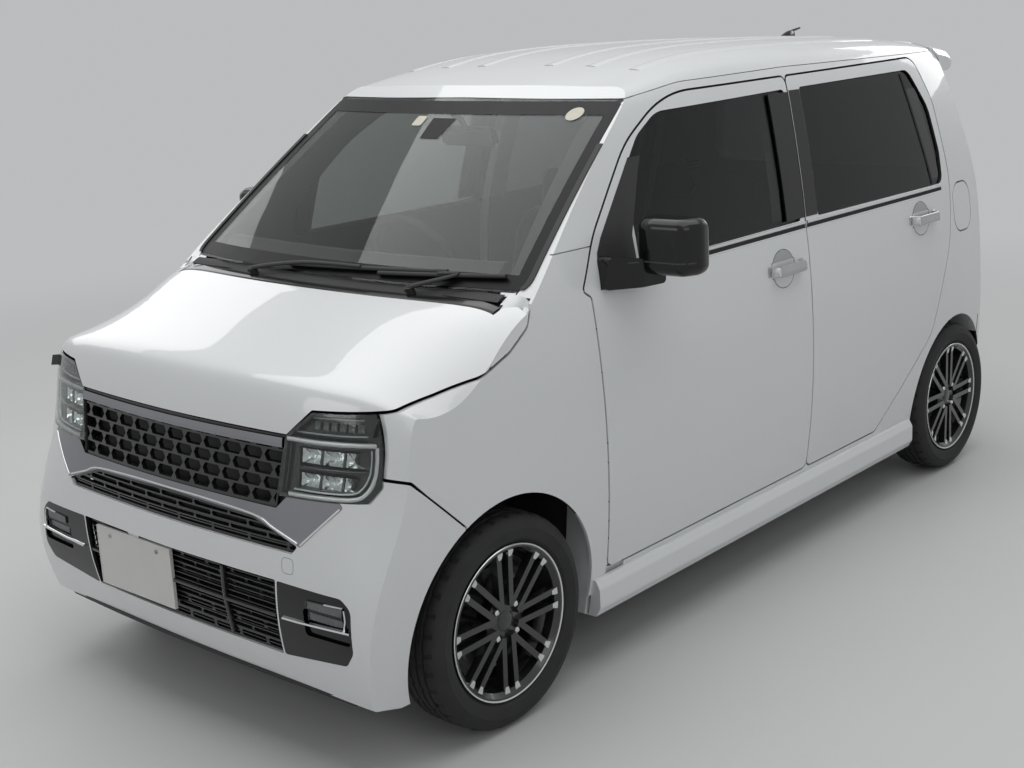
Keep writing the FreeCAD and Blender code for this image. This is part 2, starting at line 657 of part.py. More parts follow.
def handle(x, z):
    """A pull handle standing off the door skin on two feet."""
    grip = side_prism(((x - 85, z - 13, 12), (x + 85, z - 13, 12), (x + 85, z + 13, 12), (x - 85, z + 13, 12)), 600, 900)
    grip = grip.common(tube(-30)).cut(tube(-17))
    feet = side_prism(((x - 85, z - 11), (x - 60, z - 11), (x - 60, z + 11), (x - 85, z + 11)), 600, 900)
    feet = feet.fuse(side_prism(((x + 58, z - 11), (x + 83, z - 11), (x + 83, z + 11), (x + 58, z + 11)), 600, 900))
    return grip.fuse(feet.common(tube(-24)).cut(tube(6)))


front_door = door(FRONT_DOOR, FRONT_WINDOW, WINDOW_BAR).fuse(handle(-95, 975))
rear_door = door(REAR_DOOR, REAR_WINDOW).fuse(handle(-1030, 1004))
front_glass = door_glass(FRONT_WINDOW, WINDOW_BAR)
rear_glass = door_glass(REAR_WINDOW)

casing = plan_prism(((595, 746, 34), (690, 742, 50), (712, 800, 60), (706, 908, 42), (650, 934, 50), (597, 926, 34)), 1090, 1240)
casing = casing.makeFillet(30, [edge for edge in casing.Edges if edge.BoundBox.ZLength < 1e-6])
foot = side_prism(((800, 1060, 8), (792, 1148, 16), (730, 1140, 30), (640, 1104, 20), (640, 1062, 12)), 600, 900)
foot = foot.common(plan_prism(((804, 600), (804, 724), (720, 790, 40), (640, 806), (640, 600)), 1000, 1200))
mirror = largest(casing.fuse(largest(foot.cut(tube(-REST)))))
front_door = largest(front_door)

for tag, place in (("L", lambda shape: shape), ("R", mirrored)):
    piece("door_F" + tag, place(front_door))
    piece("door_R" + tag, place(largest(rear_door)))
    piece("glass_F" + tag, place(front_glass))
    piece("glass_R" + tag, place(rear_glass))
    piece("mirror_" + tag, place(mirror))

# The floor, firewall and front structure as one welded shell


def slab(points, thickness, low, high):
    """A folded plate: a path in the side view, thickened downwards and run across the car."""
    below = [(x, z - thickness) for x, z in reversed(points)]
    return side_prism([tuple(p) for p in points] + below, low, high)


COWL_Z = 1024
floor_path = ((866, FLOOR), (-860, FLOOR), (-960, FLOOR + 158), (-1604, FLOOR + 158))
floor = slab(floor_path, 12, -700, 700)
firewall = block(856, 868, -700, 700, FLOOR - 12, COWL_Z)
shelf = block(856, 1096, -700, 700, COWL_Z - 10, COWL_Z).fuse(block(1000, 1160, -540, 540, COWL_Z - 10, COWL_Z))
upstand = screen_outside(18).cut(screen_outside(5.5)).common(block(900, 1200, -560, 560, COWL_Z - 10, 1150))
tail_panel = block(-1612, -1600, -590, 590, FLOOR - 12, 541)
tunnel = block(-860, 866, -110, 110, FLOOR - 12, FLOOR + 70).cut(block(-861, 867, -98, 98, 0, FLOOR + 58))
well = cylinder_y(REAR_AXLE, AXLE_Z, size("rear_arch") + 9, 536, 700).cut(cylinder_y(REAR_AXLE, AXLE_Z, size("rear_arch"), 546, 720))
well = well.cut(block(-1800, -800, 400, 800, 0, AXLE_Z + 55))
apron = block(868, 1530, 372, 398, 268, 862).fuse(block(868, 1430, 372, 700, 852, 862))
support = block(1530, 1552, -430, 430, 230, 300).fuse(block(1530, 1552, -430, 430, 700, 790))
support = support.fuse(block(1530, 1552, 372, 398, 230, 790)).fuse(block(1530, 1552, -398, -372, 230, 790))
beam = block(1500, 1800, -470, 470, 506, 546).common(front(9.5)).cut(front(60))
beam = beam.fuse(both(block(1540, 1660, 372, 398, 500, 546).common(front(12))))
bonnet_stop = Part.makeCylinder(11, 300, Vector(1380, 420, 860)).common(front(size("bonnet_thickness") + REST))
shell = floor.cut(cylinder_y(REAR_AXLE, AXLE_Z, size("rear_arch"), 546, 720))
shell = shell.cut(cylinder_y(REAR_AXLE, AXLE_Z, size("rear_arch"), -720, -546))
shell = shell.fuse([firewall, shelf, upstand, tail_panel, tunnel, well, mirrored(well), apron, mirrored(apron), support, beam])
shell = shell.fuse([bonnet_stop, mirrored(bonnet_stop)])
shell = shell.fuse(block(1040, 1500, -398, 398, 268, 290)).cut(block(-861, 857, -98, 98, FLOOR - 13, FLOOR + 58))
shell = shell.common(inside_trim.fuse(front(SKIN + 0.5).common(block(868, 1800, -900, 900, 0, 900))).fuse(rear(15).common(inside_trim)))
piece("floor_pan", largest(shell))


# Cabin


dash = side_prism(
    ((855.5, 640), (855.5, 1034), (800, 1040, 80), (610, 1012, 50), (548, 930, 50), (600, 800, 60), (690, 640, 30)), -700, 700,
).common(inside_trim).cut(block(540, 700, -250, 250, 600, 780))
console = block(420, 700, -96, 96, FLOOR + 70.5, 800)
WHEEL_CENTRE = Vector(430, -340, 985)
COLUMN = Vector(-0.9, 0, 0.436).normalize()
column = rod(WHEEL_CENTRE - COLUMN * 330, WHEEL_CENTRE - COLUMN * 66, 34)
bore = rod(WHEEL_CENTRE - COLUMN * 260, WHEEL_CENTRE - COLUMN * 40, 11 + PLAY)
piece("dashboard", largest(dash.fuse([console, column]).cut(bore)))

cowl = outer.common(block(1000, 1240, -640, 640, COWL_Z + REST, 1074)).cut(screen_outside(-20)).common(screen_outside(-REST))


piece("cowl", largest(cowl))


def rounded_box(x0, x1, y0, y1, z0, z1, radius):
    """A box with every edge rounded."""
    solid = block(x0, x1, y0, y1, z0, z1)
    return solid.makeFillet(radius, solid.Edges)


def seat(x, y, width):
    """A seat with its cushion, back and head restraint in one, on two runners."""
    cushion = rounded_box(x - 250, x + 260, y - width / 2, y + width / 2, FLOOR + 170, FLOOR + 300, 40)
    back = rounded_box(x - 260, x - 140, y - width / 2 + 15, y + width / 2 - 15, FLOOR + 200, FLOOR + 800, 45)
    rest = rounded_box(x - 250, x - 160, y - 120, y + 120, FLOOR + 760, FLOOR + 960, 40)
    leaned = back.fuse(rest)
    leaned.rotate(Vector(x - 200, 0, FLOOR + 250), Vector(0, 1, 0), -14)
    runners = block(x - 200, x + 200, y - 190, y - 160, FLOOR, FLOOR + 190).fuse(block(x - 200, x + 200, y + 160, y + 190, FLOOR, FLOOR + 190))
    return largest(cushion.fuse([leaned, runners]))


piece("front_seats", both(seat(60, 340, size("seat_width") - 20)))
bench = rounded_box(-980, -500, -545, 545, FLOOR + 159, FLOOR + 300, 45)
bench_back = rounded_box(-1010, -890, -530, 530, FLOOR + 200, FLOOR + 780, 45)
bench_back.rotate(Vector(-950, 0, FLOOR + 250), Vector(0, 1, 0), -12)
bench_feet = block(-840, -560, 300, 340, FLOOR, FLOOR + 200).fuse(block(-840, -560, -340, -300, FLOOR, FLOOR + 200))
piece("rear_seat", largest(bench.fuse([bench_back, bench_feet])))


# Running gear


piece("engine", block(1120, 1480, -330, 330, 290, 760))

pipe = rod(Vector(1100, -150, 222), Vector(-1360, -150, 222), 21).fuse(rounded_box(-1530, -1345, -420, -120, 178, 282, 30))
pipe = pipe.fuse(rod(Vector(-1500, -300, 222), Vector(-1640, -300, 222), 19))
hangers = block(200, 212, -156, -144, 222, FLOOR - 12).fuse(block(-700, -688, -156, -144, 222, FLOOR - 12))
piece("exhaust", largest(pipe.fuse(hangers).fuse(block(-1420, -1408, -156, -144, 222, FLOOR + 146))))

tank = rounded_box(-640, -120, -60, 420, 168, FLOOR - 12.5, 30)
piece("fuel_tank", tank)

KINGPIN = size("kingpin_y")
strut = rod(Vector(FRONT_AXLE, 496, 330), Vector(FRONT_AXLE, 470, 700), 20)
spring = rod(Vector(FRONT_AXLE, 486, 470), Vector(FRONT_AXLE, 474, 640), 52)
tower = block(FRONT_AXLE - 60, FRONT_AXLE + 60, 398, 530, 690, 700)
king = Vector(FRONT_AXLE, KINGPIN, 176)
arm = block(FRONT_AXLE - 30, FRONT_AXLE + 30, 330, KINGPIN - 22, 176, 196).fuse(Part.makeCylinder(20, 20, king))
arm = arm.fuse(block(FRONT_AXLE - 14, FRONT_AXLE + 14, KINGPIN - 40, KINGPIN, 176, 196))
arm = arm.fuse(Part.makeCylinder(size("king_radius"), 62, king))
arm = arm.fuse(block(FRONT_AXLE - 34, FRONT_AXLE + 34, 300, 340, 176, 268)).fuse(block(FRONT_AXLE - 22, FRONT_AXLE + 22, 480, 512, 186, 340))
suspension = strut.fuse([spring, tower, arm])
cross = block(FRONT_AXLE - 34, FRONT_AXLE + 34, -340, 340, 236, 268 - REST)
piece("front_suspension", largest(suspension.fuse([mirrored(suspension), cross])))

upright = block(FRONT_AXLE - 34, FRONT_AXLE + 34, KINGPIN - 14, KINGPIN + 10, 222, 350)
upright = upright.fuse(Part.makeCylinder(17, 170, king + Vector(0, 0, 26)))
upright = upright.cut(Part.makeCylinder(size("king_radius") + PLAY, 50, king + Vector(0, 0, 20)))
spindle = rod(Vector(FRONT_AXLE, KINGPIN, AXLE_Z), Vector(FRONT_AXLE, KINGPIN + 68, AXLE_Z), size("spindle_radius"))
caliper = block(FRONT_AXLE - 150, FRONT_AXLE - 84, 598, 622, 236, 326).fuse(block(FRONT_AXLE - 100, FRONT_AXLE - 30, 598, 612, 262, 300))
knuckle = largest(upright.fuse([spindle, caliper]))
piece("knuckle_L", knuckle)
piece("knuckle_R", mirrored(knuckle))

beam_axle = cylinder_y(REAR_AXLE, AXLE_Z, 30, -560, 560)
beam_axle = beam_axle.fuse(cylinder_y(REAR_AXLE, AXLE_Z, size("spindle_radius"), -668, 668))
link = rod(Vector(REAR_AXLE, 430, AXLE_Z), Vector(-780, 430, 222), 14).fuse(block(-800, -760, 410, 450, 214, FLOOR - 12))
coil = Part.makeCylinder(48, FLOOR + 146 - AXLE_Z, Vector(REAR_AXLE, 430, AXLE_Z))
piece("rear_axle", largest(beam_axle.fuse([link, mirrored(link), coil, mirrored(coil)])))

skirt_profile = ((640, 168), (712, 170, 6), (727, 196, 20), (727, 250, 16), (714, 274, 4), (640, 282))
skirt = front_prism(skirt_profile, -962, 870).cut(tube(-0.3)).common(block(-990, 900, 600, 800, 0, 400))
piece("side_skirts", both(largest(skirt)))

ring = Part.makeTorus(size("steering_rim"), 15, WHEEL_CENTRE, COLUMN)
hub = rod(WHEEL_CENTRE - COLUMN * 58, WHEEL_CENTRE - COLUMN * 20, 50)
shaft = rod(WHEEL_CENTRE - COLUMN * 200, WHEEL_CENTRE - COLUMN * 30, 11)
across = Vector(0, 1, 0)
down = COLUMN.cross(across)
spokes = [
    rod(WHEEL_CENTRE - COLUMN * 30, WHEEL_CENTRE + way * size("steering_rim"), 11) for way in (across, across * -1, down)
]
piece("steering_wheel", largest(ring.fuse([hub, shaft] + spokes)))


# Wheels, revolved from sketches whose sizes follow the sheet


def bound(spec):
    """The value of a size and the expression behind it: a number, or (alias, added amount, share)."""
    if not isinstance(spec, tuple):
        return float(spec), None
    alias, extra, share = spec
    return size(alias) * share + extra, f"Dimensions.{alias} * {share} + {extra}"


def polygon_sketch(body, role, name, points, height=0.0):
    """A closed sketch on an origin plane whose corners are held from the origin."""
    sketch = body.newObject("Sketcher::SketchObject", name)
    plane = next(f for f in body.Origin.OriginFeatures if f.Role == role)
    sketch.AttachmentSupport = [(plane, "")]
    sketch.MapMode = "FlatFace"
    sketch.AttachmentOffset = Placement(Vector(0, 0, height), Rotation())
    values = [(bound(u), bound(v)) for u, v in points]
    spots = [Vector(u[0], v[0], 0) for u, v in values]
    count = len(spots)
    for i in range(count):
        sketch.addGeometry(Part.LineSegment(spots[i], spots[(i + 1) % count]))
    for i in range(count):
        sketch.addConstraint(Sketcher.Constraint("Coincident", i, 2, (i + 1) % count, 1))
    for i, pair in enumerate(values):
        for kind, (value, expression) in zip(("DistanceX", "DistanceY"), pair):
            index = sketch.addConstraint(Sketcher.Constraint(kind, -1, 1, i, 1, value))
            if expression:
                sketch.setExpression(f"Constraints[{index}]", expression)
    return sketch


def revolution(body, name, points):
    """A solid of revolution about the body's own Z axis."""
    sketch = polygon_sketch(body, "XZ_Plane", name + "_profile", points)
    feature = body.newObject("PartDesign::Revolution", name)
    feature.Profile = sketch
    feature.ReferenceAxis = (sketch, ["V_Axis"])
    feature.Angle = 360
    return feature


TYRE_SIDES = 52


def tyre(label, placement):
    """A tyre with its bead, sidewall, shoulder and tread, hollow inside and built of flat facets."""
    bead, crown, wide = size("rim_radius"), size("tyre_radius"), size("tyre_width") / 2
    half = ((bead - 12, 57), (bead + 3.5, 63.4), (crown - 45, wide), (crown - 14, wide - 8), (crown, wide - 30))
    inner = ((crown - 14, wide - 36), (bead - 12, 44))
    profile = [*half, *((r, -a) for r, a in reversed(half)), *((r, -a) for r, a in reversed(inner)), *inner]
    turns = [2 * math.pi * k / TYRE_SIDES for k in range(TYRE_SIDES)]
    rings = [[Vector(r * math.cos(t), r * math.sin(t), a) for r, a in profile] for t in turns]
    facets = []
    for k, ring in enumerate(rings):
        following = rings[(k + 1) % TYRE_SIDES]
        for i, corner in enumerate(ring):
            j = (i + 1) % len(ring)
            facets.append(Part.Face(Part.makePolygon([corner, ring[j], following[j], following[i], corner])))
    solid = Part.Solid(Part.Shell(facets))
    if solid.Volume < 0:
        solid.reverse()
    feature = piece(label, solid)
    feature.Placement = placement


RIM = (
    (("rim_radius", 0, 1), 70), (("rim_radius", 0, 1), 64), (("rim_radius", -13, 1), 58), (("rim_radius", -17, 1), 30),
    (("rim_radius", -31, 1), 8), (("rim_radius", -31, 1), -30), (("rim_radius", -13, 1), -52), (("rim_radius", -13, 1), -58),
    (("rim_radius", 0, 1), -64), (("rim_radius", 0, 1), -70), (("rim_radius", -8, 1), -70), (("rim_radius", -22, 1), -56),
    (("rim_radius", -38, 1), -30), (("rim_radius", -38, 1), 10), (("rim_radius", -24, 1), 34), (("rim_radius", -20, 1), 58),
    (("rim_radius", -8, 1), 70),
)
HUB = (
    (("spindle_radius", PLAY, 1), -17), (("disc_radius", 0, 1), -17), (("disc_radius", 0, 1), -6), (70, -6), (70, 14), (64, 46), (30, 50), (("spindle_radius", PLAY, 1), 50),
)


def wheel_body(label, placement):
    """An alloy wheel: rim, hub with its brake disc, and pairs of straight spokes."""
    body = document.addObject("PartDesign::Body", label)
    body.Label = label
    body.Placement = placement
    revolution(body, label + "_rim", RIM)
    revolution(body, label + "_hub", HUB)
    outer_end = ("rim_radius", -19, 1)
    bars = []
    for side in (1, -1):
        near, far = 9 * side, 25 * side
        bars.append(((40, near), (outer_end, near + 4 * side), (outer_end, far + 4 * side), (40, far)))
    pads = []
    for number, bar in enumerate(bars):
        sketch = polygon_sketch(body, "XY_Plane", f"{label}_bar_{number}", bar, 36)
        pad = body.newObject("PartDesign::Pad", f"{label}_spoke_{number}")
        pad.Profile = sketch
        pad.Length = 24
        pads.append(pad)
    pattern = body.newObject("PartDesign::PolarPattern", label + "_spokes")
    pattern.Originals = pads
    pattern.Axis = (pads[0].Profile[0], ["N_Axis"])
    pattern.Angle = 360
    pattern.Occurrences = 8
    body.Tip = pattern
    PIECES.append(body)
    return body


def placed(x, side):
    """The place of a wheel, with its outer face away from the car."""
    return Placement(Vector(x, side * WHEEL_Y, AXLE_Z), Rotation(Vector(1, 0, 0), -90 * side))


for tag, x, side in (("FL", FRONT_AXLE, 1), ("FR", FRONT_AXLE, -1), ("RL", REAR_AXLE, 1), ("RR", REAR_AXLE, -1)):
    wheel_body("wheel_" + tag, placed(x, side))
    tyre("tyre_" + tag, placed(x, side))

document.recompute()
for item in document.Objects:
    if "Invalid" in item.State or "Error" in item.State:
        raise RuntimeError(f"{item.Label} did not rebuild")
for item in PIECES:
    if item.Shape.isNull() or not item.Shape.isValid():
        raise RuntimeError(f"{item.Label} has no sound shape")

os.makedirs("parts", exist_ok=True)
for item in PIECES:
    item.Shape.exportStep(f"parts/{item.Label}.step")
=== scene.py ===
import json
import math

import bpy
import bmesh
from mathutils import Matrix, Vector
from mathutils.bvhtree import BVHTree

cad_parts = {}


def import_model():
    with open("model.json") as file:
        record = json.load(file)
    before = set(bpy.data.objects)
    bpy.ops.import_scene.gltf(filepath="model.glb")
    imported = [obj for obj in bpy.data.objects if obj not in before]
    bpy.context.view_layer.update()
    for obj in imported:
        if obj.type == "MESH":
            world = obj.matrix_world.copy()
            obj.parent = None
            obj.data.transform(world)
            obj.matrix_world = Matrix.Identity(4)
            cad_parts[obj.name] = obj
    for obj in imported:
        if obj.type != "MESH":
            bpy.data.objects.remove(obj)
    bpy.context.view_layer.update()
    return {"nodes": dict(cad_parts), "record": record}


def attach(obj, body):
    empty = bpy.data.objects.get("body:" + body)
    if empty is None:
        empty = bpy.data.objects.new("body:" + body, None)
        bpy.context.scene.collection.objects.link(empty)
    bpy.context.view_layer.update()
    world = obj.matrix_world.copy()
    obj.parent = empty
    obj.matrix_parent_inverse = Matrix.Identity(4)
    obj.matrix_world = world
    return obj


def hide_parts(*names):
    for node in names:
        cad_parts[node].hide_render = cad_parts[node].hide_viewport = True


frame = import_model()
nodes = frame["nodes"]

SIDES = ((1, "L"), (-1, "R"))  # +Y is the car's left
BODY_OF = {"FL": "door_front_left", "RL": "door_rear_left", "FR": "door_front_right", "RR": "door_rear_right"}


# Materials: every one is a Principled shader whose colour, gloss and bump vary with the place on the surface


def noise(tree, place, scale, detail):
    """A noise texture in the object's own coordinates."""
    node = tree.nodes.new("ShaderNodeTexNoise")
    node.inputs["Scale"].default_value = scale
    node.inputs["Detail"].default_value = detail
    tree.links.new(place.outputs["Object"], node.inputs["Vector"])
    return node


def relief(tree, height, strength, distance):
    """A bump that goes from a height to the shader's normal."""
    node = tree.nodes.new("ShaderNodeBump")
    node.inputs["Strength"].default_value = strength
    node.inputs["Distance"].default_value = distance
    tree.links.new(height, node.inputs["Height"])
    tree.links.new(node.outputs["Normal"], tree.nodes["Principled BSDF"].inputs["Normal"])


def maths(tree, operation, a, b):
    """The result of two linked values."""
    node = tree.nodes.new("ShaderNodeMath")
    node.operation = operation
    tree.links.new(a, node.inputs[0])
    tree.links.new(b, node.inputs[1])
    return node.outputs[0]


def shader(name, colour, rough=0.5, metal=0.0, vary=0.05, scale=6.0, bump=0.0, grain=300.0, rough_vary=0.06,
           **sockets):
    """A procedural material: a base colour that drifts, a roughness that drifts, and a fine bump."""
    material = bpy.data.materials.new(name)
    material.use_nodes = True
    tree = material.node_tree
    bsdf = tree.nodes["Principled BSDF"]
    bsdf.inputs["Metallic"].default_value = metal
    for key, value in sockets.items():
        bsdf.inputs[key.replace("_", " ")].default_value = value
    place = tree.nodes.new("ShaderNodeTexCoord")
    drift = noise(tree, place, scale, 4.0)
    ramp = tree.nodes.new("ShaderNodeValToRGB")
    dark, light = ramp.color_ramp.elements
    dark.position, light.position = 0.3, 0.7
    dark.color = (*[c * (1 - vary) for c in colour], 1)
    light.color = (*[min(c * (1 + vary), 1.0) for c in colour], 1)
    tree.links.new(drift.outputs["Fac"], ramp.inputs["Fac"])
    tree.links.new(ramp.outputs["Color"], bsdf.inputs["Base Color"])
    gloss = tree.nodes.new("ShaderNodeMapRange")
    gloss.inputs["To Min"].default_value = max(rough - rough_vary, 0.0)
    gloss.inputs["To Max"].default_value = min(rough + rough_vary, 1.0)
    tree.links.new(drift.outputs["Fac"], gloss.inputs["Value"])
    tree.links.new(gloss.outputs["Result"], bsdf.inputs["Roughness"])
    if bump:
        relief(tree, noise(tree, place, grain, 3.0).outputs["Fac"], bump, 0.001)
    return material


def weave(name, colour, pitch=0.0016, rough=0.9, second=0.7):
    """Woven cloth: two crossed sets of threads in colour and in relief."""
    material = shader(name, colour, rough, vary=0.10, scale=9.0, Sheen_Weight=0.35, Sheen_Roughness=0.5)
    tree = material.node_tree
    place = next(n for n in tree.nodes if n.type == "TEX_COORD")
    threads = []
    for direction in ("X", "Z"):
        wave = tree.nodes.new("ShaderNodeTexWave")
        wave.wave_type = "BANDS"
        wave.bands_direction = direction
        wave.inputs["Scale"].default_value = 1 / pitch / 2
        wave.inputs["Distortion"].default_value = 0.6
        tree.links.new(place.outputs["Object"], wave.inputs["Vector"])
        threads.append(wave.outputs["Fac"])
    height = maths(tree, "MAXIMUM", *threads)
    relief(tree, height, 0.5, 0.0008)
    ramp = next(n for n in tree.nodes if n.type == "VALTORGB")
    shade = tree.nodes.new("ShaderNodeMix")
    shade.data_type = "RGBA"
    shade.blend_type = "MULTIPLY"
    shade.inputs["B"].default_value = (second, second, second, 1)
    tree.links.new(height, shade.inputs["Factor"])
    tree.links.new(ramp.outputs["Color"], shade.inputs["A"])
    tree.links.new(shade.outputs["Result"], tree.nodes["Principled BSDF"].inputs["Base Color"])
    return material


def glass(name, colour, vary, ior):
    """Clear or tinted glass with no roughness."""
    return shader(name, colour, 0.0, vary=vary, scale=2.0, rough_vary=0.0, Transmission_Weight=1.0, IOR=ior)


PAINT = shader("pearl_white", (0.74, 0.76, 0.765), 0.30, 0.0, vary=0.012, scale=2.0, rough_vary=0.03, bump=0.02,
               grain=2400.0, Coat_Weight=1.0, Coat_Roughness=0.03, Specular_IOR_Level=0.6)
# A darker pearl for the upper half of each handle bowl: painted shade in the recess under the grip.
BOWL_SHADE = shader("pearl_bowl_shade", (0.40, 0.41, 0.42), 0.30, vary=0.03, scale=4.0, Coat_Weight=0.6)
# Near black strips laid over gaps and grooves: painted shade where the gap or groove is.
GAP_SHADE = shader("painted_gap_shade", (0.05, 0.052, 0.054), 0.7, vary=0.1, scale=30.0)
BLACK_GLOSS = shader("piano_black", (0.004, 0.004, 0.0045), 0.16, vary=0.2, scale=3.0, Specular_IOR_Level=0.35,
                     Coat_Weight=0.25, Coat_Roughness=0.03)
BLACK_PLASTIC = shader("black_plastic", (0.018, 0.018, 0.019), 0.55, vary=0.15, scale=14.0, bump=0.25, grain=900.0)
GRILLE_BLACK = shader("grille_black", (0.010, 0.010, 0.011), 0.28, vary=0.2, scale=10.0, Coat_Weight=0.5)
SCREEN_BLACK = shader("screen_border", (0.006, 0.006, 0.007), 0.4, vary=0.15, scale=20.0, Specular_IOR_Level=0.2)
RUBBER = shader("rubber", (0.014, 0.014, 0.014), 0.8, vary=0.15, scale=20.0, bump=0.2, grain=500.0)
TYRE_RUBBER = shader("tyre_rubber", (0.020, 0.020, 0.021), 0.78, vary=0.25, scale=16.0, bump=0.35, grain=420.0)
CHROME = shader("chrome", (0.78, 0.79, 0.80), 0.10, 1.0, vary=0.03, scale=5.0, rough_vary=0.04)
SMOKED_CHROME = shader("smoked_chrome", (0.30, 0.30, 0.32), 0.14, 1.0, vary=0.06, scale=5.0, rough_vary=0.04)
HANDLE_CHROME = shader("handle_chrome", (0.52, 0.53, 0.54), 0.12, 1.0, vary=0.04, scale=9.0, rough_vary=0.04)
SATIN = shader("satin_chrome", (0.70, 0.71, 0.72), 0.34, 0.7, vary=0.05, scale=20.0)
MACHINED = shader("machined_alloy", (0.74, 0.75, 0.76), 0.24, 1.0, vary=0.04, scale=40.0, bump=0.08, grain=1400.0)
WHEEL_BLACK = shader("wheel_black", (0.012, 0.012, 0.013), 0.26, vary=0.2, scale=12.0, Coat_Weight=0.8,
                     Coat_Roughness=0.08)
STEEL = shader("exhaust_steel", (0.36, 0.35, 0.34), 0.38, 0.9, vary=0.3, scale=11.0, bump=0.15, grain=260.0)
CHASSIS = shader("chassis_black", (0.030, 0.030, 0.031), 0.6, vary=0.35, scale=5.0, bump=0.3, grain=160.0)
ENGINE = shader("cast_aluminium", (0.42, 0.42, 0.42), 0.5, 0.8, vary=0.2, scale=12.0, bump=0.4, grain=240.0)
TRIM = shader("cabin_trim", (0.028, 0.028, 0.029), 0.62, vary=0.2, scale=10.0, bump=0.3, grain=700.0)
DOOR_CARD = shader("door_card", (0.036, 0.035, 0.034), 0.66, vary=0.16, scale=8.0, bump=0.35, grain=640.0)
HEADLINER = shader("headliner", (0.50, 0.49, 0.46), 0.95, vary=0.06, scale=14.0, bump=0.4, grain=900.0,
                   Sheen_Weight=0.3)
CARPET = shader("carpet", (0.022, 0.022, 0.023), 0.98, vary=0.35, scale=70.0, bump=0.8, grain=900.0, Sheen_Weight=0.3)
CLOTH = weave("seat_cloth", (0.052, 0.050, 0.050))
CLEAR = glass("clear_glass", (0.80, 0.84, 0.82), 0.01, 1.34)
FRONT_GLASS = glass("front_glass", (0.17, 0.19, 0.18), 0.02, 1.36)
DARK_GLASS = glass("privacy_glass", (0.055, 0.06, 0.065), 0.03, 1.36)
LAMP_DARK = shader("lamp_bezel", (0.015, 0.015, 0.017), 0.2, vary=0.2, scale=20.0, Coat_Weight=0.6)
LAMP_GREY = shader("lamp_grey", (0.16, 0.165, 0.17), 0.22, 0.7, vary=0.12, scale=30.0)
REFLECTOR = shader("lamp_reflector", (0.80, 0.81, 0.82), 0.07, 1.0, vary=0.05, scale=30.0)
FROST = shader("lamp_frost", (0.62, 0.64, 0.66), 0.35, vary=0.05, scale=60.0)
RED_LENS = shader("tail_lens", (0.42, 0.012, 0.014), 0.08, vary=0.12, scale=18.0, Coat_Weight=1.0,
                  Transmission_Weight=0.25)
PLATE = shader("blank_plate", (0.66, 0.66, 0.63), 0.42, vary=0.03, scale=9.0, bump=0.05, grain=300.0)
STICKER = shader("blank_sticker", (0.62, 0.60, 0.50), 0.6, vary=0.05, scale=60.0)

SLOTS = {
    "paint": PAINT, "black_gloss": BLACK_GLOSS, "grille_black": GRILLE_BLACK, "chrome": SMOKED_CHROME,
    "clear_glass": CLEAR, "front_glass": FRONT_GLASS, "dark_glass": DARK_GLASS, "lamp": LAMP_DARK,
    "tail_lamp": RED_LENS, "chassis": CHASSIS, "trim": TRIM, "seat_cloth": CLOTH, "engine_metal": ENGINE,
    "steel": STEEL, "alloy": WHEEL_BLACK, "tyre": TYRE_RUBBER,
}
for entry in frame["record"]["subparts"]:
    mesh = nodes[entry["node"]].data
    mesh.materials.clear()
    mesh.materials.append(SLOTS[entry["material_slot"]])


# Points, lines and profiles


def between(a, b, t):
    return a + (b - a) * t


def steps_between(a, b, count):
    return [a + (b - a) * i / count for i in range(count + 1)]


def around(count):
    """Equal angles round a circle."""
    return [2 * math.pi * i / count for i in range(count)]


def block(y0, y1, z0, z1, count):
    """The rows (y start, y end, z) of a rectangle."""
    return [(y0, y1, z) for z in steps_between(z0, z1, count)]


def upright(line):
    """Places of (y, z) as points with no x."""
    return [(0, y, z) for y, z in line]


def spline(points, steps):
    """A smooth run through points."""
    spots = [Vector(p) for p in points]
    last = len(spots) - 1
    found = []
    for i in range(last):
        a, b, c, d = spots[max(i - 1, 0)], spots[i], spots[i + 1], spots[min(i + 2, last)]
        for t in (k / steps for k in range(steps)):
            square, cube = 2 * a - 5 * b + 4 * c - d, 3 * b - a - 3 * c + d
            found.append(0.5 * (2 * b + (c - a) * t + square * t * t + cube * t ** 3))
    return found + [spots[-1]]


def dense(points, step):
    """A polyline with extra points so that no run is longer than a step."""
    found = [Vector(points[0])]
    for a, b in zip(points, points[1:]):
        a, b = Vector(a), Vector(b)
        parts = max(int((b - a).length / step), 1)
        found += [a.lerp(b, k / parts) for k in range(1, parts + 1)]
    return found


def rounded(width, height, radius=None, base=0.0):
    """A flat bar's profile with softened outer corners."""
    r = radius if radius is not None else min(width, height) * 0.35
    w, top = width / 2, base + height
    return [(-w, base), (-w, top - r), (-w + r * 0.3, top - r * 0.3), (-w + r, top),
            (w - r, top), (w - r * 0.3, top - r * 0.3), (w, top - r), (w, base)]


# Surfaces of the CAD nodes that rays are cast on


def surface_tree(*names):
    """Rays can be cast on these CAD nodes together."""
    vertices, faces = [], []
    for name in names:
        mesh = nodes[name].data
        start = len(vertices)
        vertices += [v.co.copy() for v in mesh.vertices]
        faces += [[start + i for i in p.vertices] for p in mesh.polygons]
    return BVHTree.FromPolygons(vertices, faces)


def hit(tree, origin, direction, lift=0.0):
    """The first point met, raised by a lift, and its outward normal, or nothing twice."""
    point, normal, _, _ = tree.ray_cast(Vector(origin), Vector(direction).normalized())
    if point is None:
        return None, None
    if normal.dot(Vector(direction)) >= 0:
        normal = -normal
    return point + normal * lift, normal


AHEAD_X, ASIDE_Y, ABOVE_Z = 2.4, 1.2, 2.0  # rays start here, clear of the car


def on_side(x, z, side, tree):
    """The body side's outer skin at x and z."""
    return hit(tree, (x, side * ASIDE_Y, z), (0, -side, 0))


def ahead(tree, y, z, depth=0.0):
    """The surface met from ahead, and the point that deep behind it."""
    return hit(tree, (AHEAD_X, y, z), (-1, 0, 0), -depth)


# Makers of pieces


def placed(name, data):
    """A new object in the scene."""
    item = bpy.data.objects.new(name, data)
    bpy.context.scene.collection.objects.link(item)
    return item


